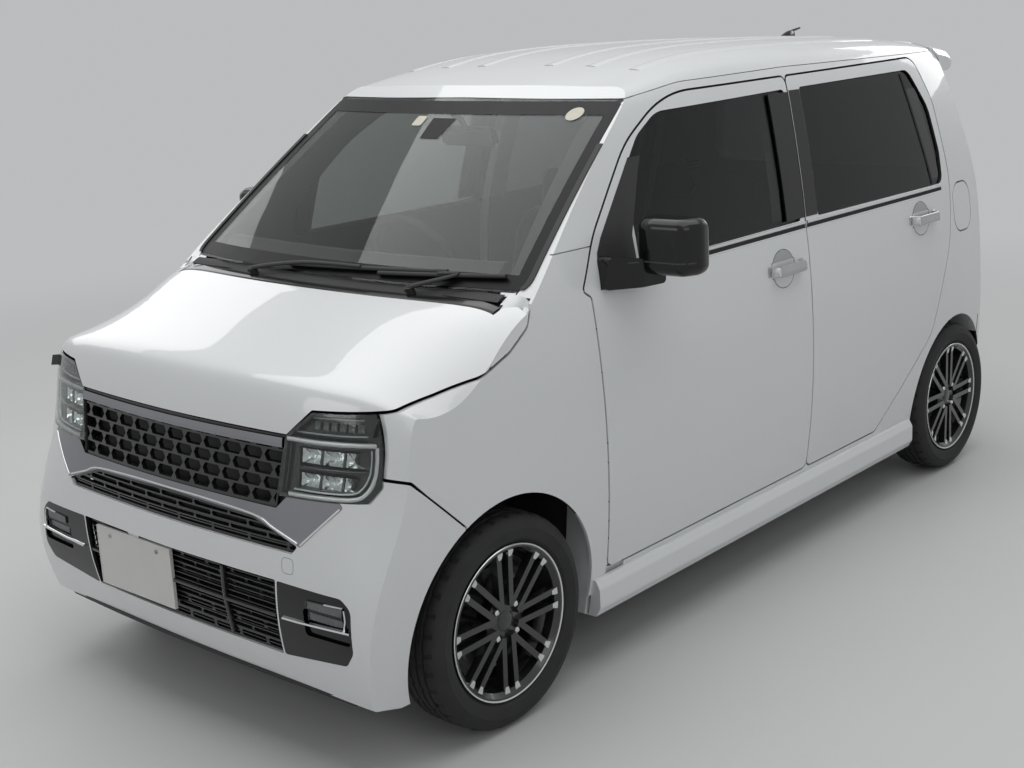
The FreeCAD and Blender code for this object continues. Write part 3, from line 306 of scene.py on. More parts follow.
def made(name, vertices, faces, material, body, angle=40.0):
    """A mesh piece that rides on a body."""
    mesh = bpy.data.meshes.new(name)
    mesh.from_pydata([tuple(v) for v in vertices], [], faces)
    mesh.materials.append(material)
    work = bmesh.new()
    work.from_mesh(mesh)
    bmesh.ops.recalc_face_normals(work, faces=work.faces)
    work.to_mesh(mesh)
    work.free()
    mesh.shade_smooth()
    mesh.set_sharp_from_angle(angle=math.radians(angle))
    item = placed(name, mesh)
    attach(item, body)
    return item


def loft(name, rings, material, body, closed=False, shut=True, foot=True, angle=40.0):
    """Joins rings of equally many points. closed joins the last ring to the first, shut joins the two ends of each
    ring, and foot closes the first ring of an open row, as the last one always is."""
    count, width = len(rings), len(rings[0])
    faces = []
    for i in range(count if closed else count - 1):
        j = (i + 1) % count
        for k in range(width if shut else width - 1):
            m = (k + 1) % width
            faces.append((i * width + k, j * width + k, j * width + m, i * width + m))
    if not closed:
        faces.append(tuple(range(width * count - 1, width * (count - 1) - 1, -1)))
        if foot:
            faces.append(tuple(range(width)))
    return made(name, [v for ring in rings for v in ring], faces, material, body, angle)


def sweep(name, spots, profile, material, body, closed=False):
    """A profile of (across, out) carried along a row of (point, outward normal)."""
    count = len(spots)
    rings = []
    for i, (spot, normal) in enumerate(spots):
        before = spots[i - 1 if i or closed else 0][0]
        after = spots[(i + 1) % count if i < count - 1 or closed else -1][0]
        across = (after - before).normalized().cross(normal).normalized()
        rings.append([spot + across * a + normal * b for a, b in profile])
    return loft(name, rings, material, body, closed=closed)


def slab(name, front, back, across, material, body, angle=40.0):
    """A closed thin panel between two grids that have across + 1 points in each row."""
    wide, total = across + 1, len(front)
    count = total // wide - 1
    faces = []
    for a in (i * wide + k for i in range(count) for k in range(across)):
        faces.append((a, a + 1, a + wide + 1, a + wide))
        faces.append((total + a, total + a + wide, total + a + wide + 1, total + a + 1))
    rim = [*range(wide), *(i * wide + across for i in range(1, count)),
           *(count * wide + k for k in range(across, -1, -1)), *(i * wide for i in range(count - 1, 0, -1))]
    for a, b in zip(rim, rim[1:] + rim[:1]):
        faces.append((a, b, total + b, total + a))
    return made(name, front + back, faces, material, body, angle)


def lathe(name, profile, centre, side, material, body, count=96, angle=30.0):
    """A profile of (radius, distance outwards) turned about an axle line along Y."""
    shut = profile[0] == profile[-1]
    x, y, z = centre
    ring = profile[:-1] if shut else profile
    rings = [[(x + math.cos(t) * r, y + side * a, z + math.sin(t) * r) for r, a in ring] for t in around(count)]
    return loft(name, rings, material, body, closed=True, shut=shut, angle=angle)


def tube_along(name, points, radii, material, body="body", up=(0, 0, 1), flat=1.0, sides=12):
    """A round or flattened bar along points, with its own radius at each."""
    spots = [Vector(p) for p in points]
    last = len(spots) - 1
    rings = []
    for i, spot in enumerate(spots):
        along = (spots[min(i + 1, last)] - spots[max(i - 1, 0)]).normalized()
        across = along.cross(Vector(up)).normalized()
        over = across.cross(along) * flat
        rings.append([spot + (across * math.cos(t) + over * math.sin(t)) * radii[i] for t in around(sides)])
    return loft(name, rings, material, body)


# Belt mouldings, pillar covers and the black corner by the mirror


def belt(tag, side, x0, z0, x1, z1):
    """Two bright lines with a black one between, along the foot of a window."""
    tree = surface_tree(f"door_{tag}")
    spots = [on_side(spot.x, spot.z, side, tree) for spot in dense([(x0, 0, z0), (x1, 0, z1)], 0.03)]
    spots = [(point, normal) for point, normal in spots if point is not None and abs(point.y) > 0.6]
    for label, shift, width, height, material in (
        ("chrome_belt_", 0.008, 0.010, 0.0075, CHROME), ("black_belt_", -0.004, 0.013, 0.0055, RUBBER),
        ("chrome_foot_", -0.013, 0.005, 0.0070, CHROME),
    ):
        moved = [(point + Vector((0, 0, shift)), normal) for point, normal in spots]
        sweep(label + tag, moved, rounded(width, height, base=-0.004), material, BODY_OF[tag])


def levelled(line, places, z):
    """Where the frame leaves off, the row goes on level with the nearest part of the frame."""
    outermost = max((abs(point.y) for point, _ in line if point is not None), default=0.0)
    firm = [k for k, (point, _) in enumerate(line) if point is not None and abs(point.y) > outermost - 0.012]
    found = []
    for k, x in enumerate(places if firm else ()):
        point, normal = line[min(firm, key=lambda i: abs(i - k))]
        found.append((Vector((x, point.y, z)), normal))
    return found


def cover(name, tag, rows, lift=0.0012, depth=0.006, material=BLACK_GLOSS, tree=None, level=False, across=8):
    """A thin panel over the door skin, from rows of (x start, x end, z)."""
    side = 1 if tag[1] == "L" else -1
    tree = tree or surface_tree(f"door_{tag}")
    spots = []
    for x0, x1, z in rows:
        places = steps_between(x0, x1, across)
        line = [on_side(x, z, side, tree) for x in places]
        if level:
            line = levelled(line, places, z)
        if all(point is not None for point, _ in line):
            spots += line
    front = [point + normal * lift for point, normal in spots]
    back = [point - normal * depth for point, normal in spots]
    return slab(name, front, back, across, material, BODY_OF[tag])


def rows_between(front_line, rear_line, z0, z1, count):
    """Rows of a panel between two slanted lines, each given as (x at z0, x at z1)."""
    return [(between(*front_line, t), between(*rear_line, t), between(z0, z1, t))
            for t in (i / count for i in range(count + 1))]


def at_height(line, z):
    """x on a broken line given as (z, x)."""
    for (z0, x0), (z1, x1) in zip(line, line[1:]):
        if z <= z1:
            return x0 + (x1 - x0) * (z - z0) / (z1 - z0)
    return line[-1][1]


# The front door's window opening and outer edge ahead of the glass, as (z, x)
WINDOW_EDGE = ((1.060, 0.700), (1.180, 0.6925), (1.336, 0.599), (1.380, 0.570))
DOOR_EDGE = ((1.060, 0.800), (1.100, 0.796), (1.151, 0.788), (1.190, 0.757), (1.336, 0.605), (1.380, 0.560))
SAIL_BAR = 0.064  # how far the corner cover runs back over the window
SAIL_FOOT, SAIL_RISE, SAIL_ROWS = 1.060, 0.318, 27
COVER_FOOT = 1.112  # where the pillar covers start, above the belt
QUARTER_FOOT = 1.1095

for side, tag in SIDES:
    belt("F" + tag, side, 0.69, 1.083, -0.234, 1.089)
    belt("R" + tag, side, -0.246, 1.089, -1.205, 1.092)
    cover("pillar_cover_F" + tag, "F" + tag,
          rows_between((-0.1320, -0.1700), (-0.2385, -0.2850), COVER_FOOT, 1.496, 16), depth=0.004, level=True)
    cover("pillar_cover_R" + tag, "R" + tag,
          rows_between((-0.2475, -0.2950), (-0.3165, -0.3570), COVER_FOOT, 1.500, 16))
    heights = [SAIL_FOOT + SAIL_RISE * i / SAIL_ROWS for i in range(SAIL_ROWS + 1)]
    sail = [(at_height(WINDOW_EDGE, z) - SAIL_BAR, at_height(DOOR_EDGE, z), z) for z in heights]
    cover("sail_" + tag, "F" + tag, sail, depth=0.004, level=True, material=BLACK_PLASTIC)
    pane = surface_tree(f"glass_R{tag}")
    cover("quarter_cover_" + tag, "R" + tag,
          rows_between((-1.155, -1.080), (-1.2215, -1.170), QUARTER_FOOT, 1.470, 20), lift=0.001, depth=0.001,
          tree=pane)
    cover("quarter_bar_" + tag, "R" + tag,
          rows_between((-1.146, -1.070), (-1.157, -1.082), QUARTER_FOOT, 1.505, 20), lift=0.0025, depth=0.001,
          tree=pane, material=RUBBER)


# Faces of CAD pieces that carry another material inside the cabin or on their edges

WAIST_Z = 1.12  # pale cloth above, dark trim below
CABIN_HALF = 0.70
DASH_X = 0.10  # the front pillars ahead of this are dark, against glare
SCREEN_FOOT, SCREEN_HALF = 1.094, 0.6720  # height of the windscreen's foot, and half its width there
SCREEN_TAPER = 0.2156  # it narrows by this for each metre of height
FRONT_PLATE = Vector((1.6966, -0.174, 0.396))
PLATE_HALF, PLATE_RISE = 0.165, 0.0825  # half a plate's width and height


def repaint(name, material, test):
    """Gives the polygons of a CAD node that pass a test of centre and normal another material."""
    mesh = nodes[name].data
    mesh.materials.append(material)
    index = len(mesh.materials) - 1
    for polygon in mesh.polygons:
        if test(polygon.center, polygon.normal):
            polygon.material_index = index


def door_inside(name, side, card_depth=0.030):
    """The inner side of a door: what looks inwards, or lies deeper than its outer panel."""
    skin = surface_tree(name)

    def inward(c, n):
        outside, _ = on_side(c.x, c.z, side, skin)
        deep = outside is not None and abs(outside.y) - abs(c.y) > card_depth
        return n.y * side < -0.5 or (deep and n.y * side < 0.5)

    return inward


def faces_in(c, n):
    """Looks towards the middle of the car."""
    return n.y * c.y < -0.02


def behind_screen(c, _):
    """The pillars' faces that only show through the windscreen."""
    half = SCREEN_HALF - 0.0035 - (c.z - SCREEN_FOOT) * SCREEN_TAPER
    return c.x > 0.42 and 1.09 < c.z < 1.535 and abs(c.y) < half


def carpeted(c, n):
    """The cabin floor with the sides of its tunnel and sills."""
    inside = -1.6 < c.x < 0.857 and abs(c.y) < 0.69 and c.z > 0.255
    return inside and (n.z > 0.3 or n.x < -0.6 or abs(n.y) > 0.6)


def on_plate(c, _):
    """The front of the number plate's carrier."""
    return (c.x > 1.6885 and abs(c.y - FRONT_PLATE.y) < PLATE_HALF + 0.0002
            and abs(c.z - FRONT_PLATE.z) < PLATE_RISE + 0.0002)


for side, tag in SIDES:
    for name in ("door_F" + tag, "door_R" + tag):
        repaint(name, DOOR_CARD, door_inside(name, side))
        repaint(name, RUBBER, lambda c, n: abs(n.y) < 0.5 and c.z > 1.07)
for name, material, test in (
    ("side_frames", HEADLINER,
     lambda c, n: faces_in(c, n) and c.z > WAIST_Z and abs(c.y) < CABIN_HALF and c.x < DASH_X),
    ("side_frames", TRIM, lambda c, n: faces_in(c, n) and c.z > 1.08 and abs(c.y) < CABIN_HALF and c.x >= DASH_X),
    ("side_frames", TRIM, lambda c, n: faces_in(c, n) and c.z <= WAIST_Z and -1.5 < c.x < 0.87),
    ("side_frames", TRIM, behind_screen),
    ("roof", HEADLINER, lambda c, n: n.z < -0.3 or (c.z < 1.56 and abs(c.y) < 0.45 and c.x > 0.2 and n.x < -0.2)),
    ("floor_pan", CARPET, carpeted),
    ("tailgate", DOOR_CARD, lambda c, n: n.x > 0.35 and c.z < 1.55),
    ("front_bumper", BLACK_PLASTIC,
     lambda c, n: (n.x < -0.3 or (abs(n.y) > 0.85 and c.x > 1.62)) and abs(c.y) < 0.66 and c.z > 0.24),
    ("front_bumper", PLATE, on_plate),
    ("grille_trim", LAMP_DARK, lambda c, n: n.x < 0.35),
    ("rear_bumper", BLACK_PLASTIC, lambda c, n: n.x > 0.3),
    ("fenders", BLACK_PLASTIC, lambda c, n: n.z < -0.35 and c.x > 0.95),
    ("bonnet", BLACK_PLASTIC, lambda c, n: n.z < -0.35 and c.x > 0.95),
):
    repaint(name, material, test)


# The nose: mouldings and panels seen from ahead. A path is a list of (y, z) for the left side.

NOSE_X = 1.6975
NOSE_LINE = ((0.20, -0.036), (0.26, -0.020), (0.40, 0.002), (0.54, 0.002), (0.66, -0.011), (0.77, -0.029),
             (0.845, -0.041), (0.93, -0.066))  # (z, x from NOSE_X) in the middle of the car
BOW_LOW, BOW_HIGH = 0.045, 0.113  # how fast the nose bows back, below BOW_FROM and above BOW_TO
BOW_FROM, BOW_TO = 0.40, 0.66


def nose(y, z, depth=0.0):
    """The bumper line where an opening leaves no surface, as a point and its normal."""
    z0, x0 = NOSE_LINE[0]
    for z1, x1 in NOSE_LINE[1:]:
        if z <= z1:
            break
        z0, x0 = z1, x1
    share = min(max((z - BOW_FROM) / (BOW_TO - BOW_FROM), 0.0), 1.0)
    bow = (BOW_HIGH * share + BOW_LOW * (1 - share)) * y * y
    point = Vector((NOSE_X + x0 + (x1 - x0) * min((z - z0) / (z1 - z0), 1.0) - bow, y, z))
    normal = Vector((1.0, 2 * y * 0.1, -(x1 - x0) / (z1 - z0))).normalized()
    return point - normal * depth, normal


def strip(name, path, tree, side, profile, depth, material, steps=6):
    """A moulding swept along a path, on a surface or along the nose."""
    line = spline(upright(path), steps)
    spots = [ahead(tree, side * p.y, p.z, depth) if tree else nose(side * p.y, p.z, depth) for p in line]
    return sweep(name, [s for s in spots if s[0] is not None], profile, material, "body")


def facing(name, rows, tree, side, depth, material, dish=0.0, across=12, thickness=0.002, flutes=False):
    """A panel from rows of (y start, y end, z), that can be dished and fluted like a reflector."""
    front, back = [], []
    for i, (y0, y1, z) in enumerate(rows):
        for k, y in enumerate(steps_between(y0, y1, across)):
            u, v = 2 * k / across - 1, 2 * i / (len(rows) - 1) - 1
            point, normal = ahead(tree, side * y, z) if tree else (None, None)
            if point is None:
                point, normal = nose(side * y, z)
            sink = depth + dish * (1 - u * u) * (1 - v * v) + (0.0015 * (k % 2) if flutes else 0.0)
            front.append(point - normal * sink)
            back.append(point - normal * (sink + thickness))
    return slab(name, front, back, across, material, "body", angle=25.0 if flutes else 40.0)


def across_nose(name, z, reach, depth, profile, material, steps):
    """A moulding that runs across the nose at one height."""
    sweep(name, [nose(y, z, depth) for y in steps_between(-reach, reach, steps)], profile, material, "body")


LENS = surface_tree("headlamp_lenses")
FRAME_DEPTH, CELL_DEPTH, LINE_DEPTH, BACK_DEPTH = 0.012, 0.015, 0.018, 0.020  # how far behind the lens things lie


def lamp_inner(z):
    """The lamp's inner edge."""
    return 0.425 + (z - 0.836) * 1.21 if z > 0.836 else 0.408 + (z - 0.692) * 0.118


def headlamp(side, tag):
    """Behind the lens: the day lamp, the satin frame and two rows of three reflectors."""
    thin, shelf, rib = rounded(0.0035, 0.004), rounded(0.009, 0.008), rounded(0.006, 0.006)
    band = [(lamp_inner(z) + 0.012, 0.672, z) for z in steps_between(0.842, 0.888, 5)]
    facing("lamp_band_" + tag, band, LENS, side, BACK_DEPTH, LAMP_DARK)
    for height, line in (("high", [(0.486, 0.884), (0.58, 0.886), (0.668, 0.888)]),
                         ("low", [(0.446, 0.847), (0.56, 0.848), (0.668, 0.850)])):
        strip(f"lamp_day_{height}_{tag}", line, LENS, side, thin, LINE_DEPTH, FROST)
    for k in range(7):
        y = 0.500 + 0.023 * k
        facing(f"lamp_day_cell_{tag}_{k}", block(y, y + 0.017, 0.858, 0.877, 4), LENS, side, CELL_DEPTH,
               LAMP_GREY, dish=0.004, across=4)
    bar = [(0.428, 0.829), (0.52, 0.829), (0.62, 0.830), (0.664, 0.830)]
    strip("lamp_bar_" + tag, bar, LENS, side, rounded(0.012, 0.010), FRAME_DEPTH, SATIN)
    hook = [(0.666, 0.826), (0.667, 0.790), (0.664, 0.752), (0.650, 0.722), (0.622, 0.707), (0.54, 0.703),
            (0.440, 0.701)]
    strip("lamp_hook_" + tag, hook, LENS, side, rounded(0.011, 0.010), FRAME_DEPTH, SATIN, steps=8)
    inner = [(0.653, 0.818), (0.654, 0.786), (0.650, 0.757), (0.637, 0.731), (0.612, 0.718), (0.54, 0.714),
             (0.450, 0.713)]
    strip("lamp_inner_hook_" + tag, inner, LENS, side, rounded(0.0045, 0.006), 0.016, SATIN, steps=8)
    pillar = [(lamp_inner(z) + 0.008, 0.458, z) for z in steps_between(0.704, 0.822, 8)]
    facing("lamp_pillar_" + tag, pillar, LENS, side, LINE_DEPTH, LAMP_DARK)
    edge = [(0.4225, 0.708), (0.4290, 0.76), (0.4350, 0.820)]
    strip("lamp_edge_" + tag, edge, LENS, side, rounded(0.0025, 0.004), 0.014, LAMP_GREY)
    for row, (low, high) in enumerate(((0.776, 0.809), (0.722, 0.752))):
        for k in range(3):
            y0 = 0.462 + 0.063 * k
            facing(f"reflector_{tag}_{row}_{k}", block(y0 + 0.002, y0 + 0.059, low, high, 8), LENS, side,
                   BACK_DEPTH, REFLECTOR, dish=0.020, across=14, flutes=True)
            strip(f"reflector_rib_{tag}_{row}_{k}", [(y0 + 0.060, low), (y0 + 0.064, high)], LENS, side, rib,
                  BACK_DEPTH + 0.001, LAMP_GREY)
    for k, (z, reach) in enumerate(((0.818, 0.648), (0.764, 0.648), (0.716, 0.625))):
        line = [(0.456, z), (0.55, z + 0.001), (reach, z + 0.002)]
        strip(f"lamp_shelf_{tag}_{k}", line, LENS, side, shelf, BACK_DEPTH + 0.001, LAMP_DARK)


for side, tag in SIDES:
    headlamp(side, tag)

# The grille's bar and edges, the trim's bright edges, and what lies behind the three openings

BAR = [(-0.418, 0.8175), (-0.2, 0.8165), (0, 0.8160), (0.2, 0.8165), (0.418, 0.8175)]
strip("grille_bar", BAR, None, 1, rounded(0.027, 0.009, radius=0.006), 0.008, SMOKED_CHROME, steps=12)
for side, tag in SIDES:
    edge = [nose(side * y, z, 0.010) for y, z in ((0.404, 0.668), (0.410, 0.72), (0.416, 0.77), (0.4195, 0.802))]
    sweep("grille_edge_" + tag, edge, rounded(0.005, 0.006), BLACK_GLOSS, "body")

TRIM_SKIN = surface_tree("grille_trim")
BRIGHT_EDGE = rounded(0.005, 0.0032, base=-0.001)
half_line = [(0.15, 0.6435), (0.330, 0.6345), (0.398, 0.614), (0.480, 0.5895)]
low_line = [(-y, z) for y, z in reversed(half_line)] + [(0, 0.6445)] + half_line
strip("trim_low_edge", low_line, TRIM_SKIN, 1, BRIGHT_EDGE, 0.0, CHROME, steps=8)
for side, tag in SIDES:
    outer_line = [(0.4885, 0.587), (0.54, 0.634), (0.5925, 0.684)]
    strip("trim_outer_edge_" + tag, outer_line, TRIM_SKIN, side, BRIGHT_EDGE, 0.0, CHROME, steps=8)

for label, reach, low, high, depth in (
    ("grille", 0.412, 0.650, 0.812, 0.050), ("slot", 0.440, 0.565, 0.640, 0.045),
    ("intake", 0.392, 0.286, 0.490, 0.060),
):
    facing(label + "_baffle", block(-reach, reach, low, high, 6), None, 1, depth, BLACK_PLASTIC, across=40,
           thickness=0.003)

for row, (z, reach) in enumerate(((0.578, 0.455), (0.597, 0.455), (0.616, 0.380))):
    across_nose(f"slot_fin_{row}", z, reach, 0.016, rounded(0.004, 0.008), GRILLE_BLACK, 40)
for k in range(13):
    across_nose(f"intake_fin_{k}", 0.302 + k * 0.0145, 0.388, 0.022, rounded(0.0035, 0.010), GRILLE_BLACK, 32)
for k, y in enumerate((-0.20, 0.20)):
    post = [nose(y, z, 0.014) for z in steps_between(0.296, 0.480, 8)]
    sweep(f"intake_post_{k}", post, rounded(0.012, 0.010), GRILLE_BLACK, "body")
across_nose("intake_shelf", 0.392, 0.392, 0.014, rounded(0.010, 0.010), GRILLE_BLACK, 32)

FOG_SKIN = surface_tree("fog_lamps")
FOG_FOOT, FOG_TOP = 0.4105, 0.4600
BLADE_PROFILE = [(-0.0045, -0.004), (-0.003, 0.0035), (0.0005, 0.0055), (0.0035, 0.002), (0.0045, -0.004)]


def fog_lamp(side, tag):
    """The bright blade and post, the fluted lens with its edge, and four dark fins under it."""
    blade = [(0.424, 0.3975), (0.500, 0.4000), (0.570, 0.4035), (0.646, 0.4075)]
    strip("fog_blade_" + tag, blade, None, side, BLADE_PROFILE, 0.001, CHROME)
    post = [(0.6300, 0.4090), (0.6350, 0.4330), (0.6300, FOG_TOP)]
    strip("fog_post_" + tag, post, None, side, rounded(0.004, 0.005), 0.002, CHROME)
    lens = [(0.508 + 0.10 * (z - 0.410), 0.6225 + 0.08 * (z - 0.410), z) for z in steps_between(FOG_FOOT, FOG_TOP, 8)]
    facing("fog_lens_" + tag, lens, FOG_SKIN, side, -0.0022, LAMP_GREY, across=16, thickness=0.003, flutes=True)
    edge = [(0.507, 0.409), (0.512, 0.4605), (0.570, 0.4625), (0.6255, 0.4640), (0.6225, 0.4095)]
    for k, ends in enumerate(zip(edge, edge[1:])):
        strip(f"fog_lens_edge_{tag}_{k}", ends, FOG_SKIN, side, rounded(0.0030, 0.0045), -0.0002,
              SATIN if k == 2 else LAMP_DARK)
    for k in range(4):
        z = 0.318 + 0.0105 * k
        fin = [(0.432 + 0.004 * k, z), (0.52, z + 0.002), (0.606, z + 0.005)]
        strip(f"fog_fin_{tag}_{k}", fin, None, side, rounded(0.0045, 0.010), 0.014, GRILLE_BLACK)


for side, tag in SIDES:
    fog_lamp(side, tag)


def plate_edge(name, centre, body):
    """The raised edge and the two plain screws of a blank plate that looks ahead."""
    half, rise = PLATE_HALF - 0.0015, PLATE_RISE - 0.0015
    corners = [(half, rise), (-half, rise), (-half, -rise), (half, -rise), (half, rise)]
    line = dense([centre + Vector((0, u, v)) for u, v in corners], 0.02)[:-1]
    edge = rounded(0.0035, 0.0018, base=-0.0005)
    sweep(name + "_rim", [(point, Vector((1, 0, 0))) for point in line], edge, PLATE, body, closed=True)
    screw = ((0.0062, -0.0005), (0.0062, 0.0012), (0.0050, 0.0026), (0.0018, 0.0030), (0.0014, 0.0014))
    for k, off in enumerate((-0.105, 0.105)):
        spot = centre + Vector((0, off, 0.062))
        rings = [[spot + Vector((h, math.cos(t) * r, math.sin(t) * r)) for t in around(16)] for r, h in screw]
        loft(f"{name}_screw_{k}", rings, STEEL, body, foot=False)


plate_edge("front_plate", FRONT_PLATE, "body")

# The bumper's dark lower lip, and the seam of the rounded square cover over the towing eye as a near black strip,
# painted shade in its gap

BUMPER = surface_tree("front_bumper")
LIP_PROFILE = [(-0.003, -0.010), (-0.003, 0.006), (0.012, 0.004), (0.020, -0.008)]
across_nose("bumper_lip", 0.207, 0.60, 0.010, LIP_PROFILE, BLACK_PLASTIC, 40)
TOW_Y, TOW_Z, TOW_HALF = 0.449, 0.531, 0.019
seam = []
for t in around(40):
    reach = TOW_HALF * (abs(math.cos(t)) ** 4 + abs(math.sin(t)) ** 4) ** -0.25
    seam.append(ahead(BUMPER, TOW_Y + math.cos(t) * reach, TOW_Z + math.sin(t) * reach))
seam = [spot for spot in seam if spot[0] is not None]
# A near black strip: painted shade in the gap round the cover.
sweep("tow_cover_seam", seam, rounded(0.0011, 0.0004, base=-0.0002), GAP_SHADE, "body", closed=True)


# Windscreen: black border, side trim, wipers, inner mirror, sensor patch and blank labels

SCREEN = surface_tree("windscreen")
LOW_TOP, TOP_LOW = 1.128, 1.490  # where the low border ends and the top one starts


def on_screen(y, z, lift=0.0):
    """The windscreen's outer face at y and z."""
    return ahead(SCREEN, y, z, -lift)


def screen_panel(name, rows, lift, across, thickness=0.0006):
    """A thin black layer on the windscreen from rows of (y start, y end, z)."""
    spots = [on_screen(y, z, lift) for y0, y1, z in rows for y in steps_between(y0, y1, across)]
    front = [point for point, _ in spots]
    slab(name, front, [point - normal * thickness for point, normal in spots], across, SCREEN_BLACK, "body")


def screen_edge(z):
    """Half the windscreen's width at a height, just inside the last place where the glass is met."""
    y = SCREEN_HALF - (z - SCREEN_FOOT) * SCREEN_TAPER
    while on_screen(y, z)[0] is None or on_screen(-y, z)[0] is None:
        y -= 0.0005
    return y - 0.0004


for name, low, high in (("screen_border_low", 1.0965, LOW_TOP), ("screen_border_top", TOP_LOW, 1.524)):
    screen_panel(name, [(-screen_edge(z), screen_edge(z), z) for z in steps_between(low, high, 4)], 0.0006, 48)
for side, tag in SIDES:
    rows = [(side * (screen_edge(z) - 0.034), side * screen_edge(z), z) for z in steps_between(LOW_TOP, TOP_LOW, 24)]
    screen_panel("screen_border_" + tag, rows, 0.0006, 3)

GARNISH_WIDTH, GARNISH_LIFT = 0.013, 0.0040
PILLAR = surface_tree("windscreen", "side_frames", "roof")
for side, tag in SIDES:
    front = []
    for z in steps_between(1.098, 1.420, 30):
        edge = screen_edge(z)
        for k in range(4):
            y = between(edge - 0.002, edge + GARNISH_WIDTH, k / 3)
            front.append(ahead(PILLAR, side * y, z, -GARNISH_LIFT)[0])
    back = [point - Vector((0.004, 0, 0.002)) for point in front]
    slab("screen_garnish_" + tag, front, back, 3, BLACK_PLASTIC, "body", angle=60.0)


def wiper(name, foot_y, elbow, start, end, steps=16):
    """An arm from its spindle to the middle of a blade that lies along the glass; each place is (y, z)."""
    up = (0.6, 0, 0.8)  # away from the slanting glass
    spindle = on_screen(foot_y, 1.0965)[0] + Vector((0.026, 0, -0.016))
    middle = on_screen((start[0] + end[0]) / 2, (start[1] + end[1]) / 2, 0.017)[0]
    arm = spline([spindle, spindle + Vector((0.002, 0, 0.012)), on_screen(*elbow, 0.016)[0], middle], 8)
    radii = steps_between(0.010, 0.0045, len(arm) - 1)
    tube_along(name + "_arm", arm, radii, BLACK_PLASTIC, up=up, flat=0.6)
    cap = [spindle - Vector((0.004, 0, 0.010)), spindle + Vector((0.004, 0, 0.012))]
    tube_along(name + "_cap", cap, [0.013, 0.011], BLACK_PLASTIC, up=(0, 1, 0))
    line = list(zip(steps_between(start[0], end[0], steps), steps_between(start[1], end[1], steps)))
    for part, lift, radius, material, flat in (
        ("_blade", 0.0105, 0.0065, BLACK_PLASTIC, 0.7), ("_rubber", 0.0042, 0.0022, RUBBER, 1.6),
    ):
        raised = [on_screen(y, z, lift)[0] for y, z in line]
        tube_along(name + part, raised, [radius] * len(raised), material, up=up, flat=flat)


wiper("wiper_long", -0.30, (-0.10, 1.108), (-0.16, 1.104), (0.42, 1.122))
wiper("wiper_short", 0.34, (0.46, 1.114), (0.20, 1.1065), (0.60, 1.120))


def inner_mirror():
    """A rounded casing that hangs from a bent stalk behind the glass."""
    top = on_screen(0, 1.500, -0.012)[0]
    stalk = [top, top + Vector((-0.030, 0, -0.022)), top + Vector((-0.050, 0, -0.048))]
    tube_along("inner_mirror_stalk", stalk, [0.012, 0.009, 0.008], TRIM, up=(0, 1, 0))
    work = bmesh.new()
    bmesh.ops.create_cube(work, size=1.0)
    bmesh.ops.scale(work, vec=(0.030, 0.225, 0.062), verts=work.verts)
    bmesh.ops.bevel(work, geom=work.edges[:], offset=0.012, segments=4, affect="EDGES")
    bmesh.ops.rotate(work, matrix=Matrix.Rotation(math.radians(12), 3, "Y"), verts=work.verts)
    bmesh.ops.translate(work, vec=top + Vector((-0.062, 0, -0.074)), verts=work.verts)
    made("inner_mirror", [v.co for v in work.verts], [[v.index for v in f.verts] for f in work.faces], TRIM, "body")
    work.free()


inner_mirror()
patch_rows = [(-0.046 + 0.010 * t, 0.046 - 0.010 * t, 1.478 - 0.052 * t) for t in steps_between(1, 0, 5)]
screen_panel("sensor_patch", patch_rows, 0.0009, 10)


def label_spot(name, y, z, radius, power, count=28):
    """A blank label on the glass, round for a power of 2 and near to square for a high one."""
    rings = []
    for lift in (0.0010, 0.0016):
        ring = []
        for t in around(count):
            r = radius * (abs(math.cos(t)) ** power + abs(math.sin(t)) ** power) ** (-1 / power)
            ring.append(on_screen(y + math.cos(t) * r, z + math.sin(t) * r * 0.62, lift)[0])
        rings.append(ring)
    loft(name, rings, STICKER, "body")


label_spot("round_label", 0.455, 1.492, 0.026, 2.0)
label_spot("square_label", -0.095, 1.470, 0.020, 10.0)


# Door handles: a bright cap over each grip and a bowl behind it, with painted shade in the bowl's upper half and
# along its rim

CAP_LENGTH, CAP_HALF = 0.200, 0.024  # the bowl stops at half a grip's height from its line
BOWL_OFF, BOWL_LONG, BOWL_HIGH = 0.012, 0.064, 0.059
half_cap = [(0.0160, -0.010), (0.0165, 0.0005), (0.0130, 0.0032), (0.0050, 0.0044)]
CAP_PROFILE = [(-a, b) for a, b in half_cap] + half_cap[::-1]


def handle(side, tag, x, z):
    """The cap, the bowl's rim as a dark strip of painted shade, and its two halves, above and below the grip; the
    upper half is darker paint, painted shade under the grip.
    """
    tree = surface_tree("door_" + tag)
    spots = [on_side(x - CAP_LENGTH / 2 + CAP_LENGTH * k / 14, z, side, tree) for k in range(15)]
    sweep("handle_cap_" + tag, spots, CAP_PROFILE, HANDLE_CHROME, BODY_OF[tag])
    bowl_x = x + BOWL_OFF
    rim = []
    for t in around(40):
        rise = math.sin(t) * BOWL_HIGH
        w = z + math.copysign(max(abs(rise), CAP_HALF), rise)
        rim.append(on_side(bowl_x + math.cos(t) * BOWL_LONG, w, side, tree))
    # The rim is a dark strip, painted shade along the bowl's edge.
    sweep("handle_bowl_rim_" + tag, rim, rounded(0.0022, 0.0010, base=-0.0004), GAP_SHADE, BODY_OF[tag], closed=True)
    # The upper half is darker pearl, painted shade under the grip; the lower half is plain paint.
    for half, sign, material in (("high", 1, BOWL_SHADE), ("low", -1, PAINT)):
        rows = []
        for w in (CAP_HALF + 0.032 * i / 8 for i in range(9)):
            reach = (BOWL_LONG - 0.001) * math.sqrt(max(1 - (w / BOWL_HIGH) ** 2, 0.02))
            rows.append((bowl_x - reach, bowl_x + reach, z + sign * w))
        cover(f"handle_bowl_{half}_{tag}", tag, rows[::sign], lift=0.0005, depth=0.0006, material=material, tree=tree)


for side, tag in SIDES:
    handle(side, "F" + tag, -0.095, 0.975)
    handle(side, "R" + tag, -1.030, 1.004)


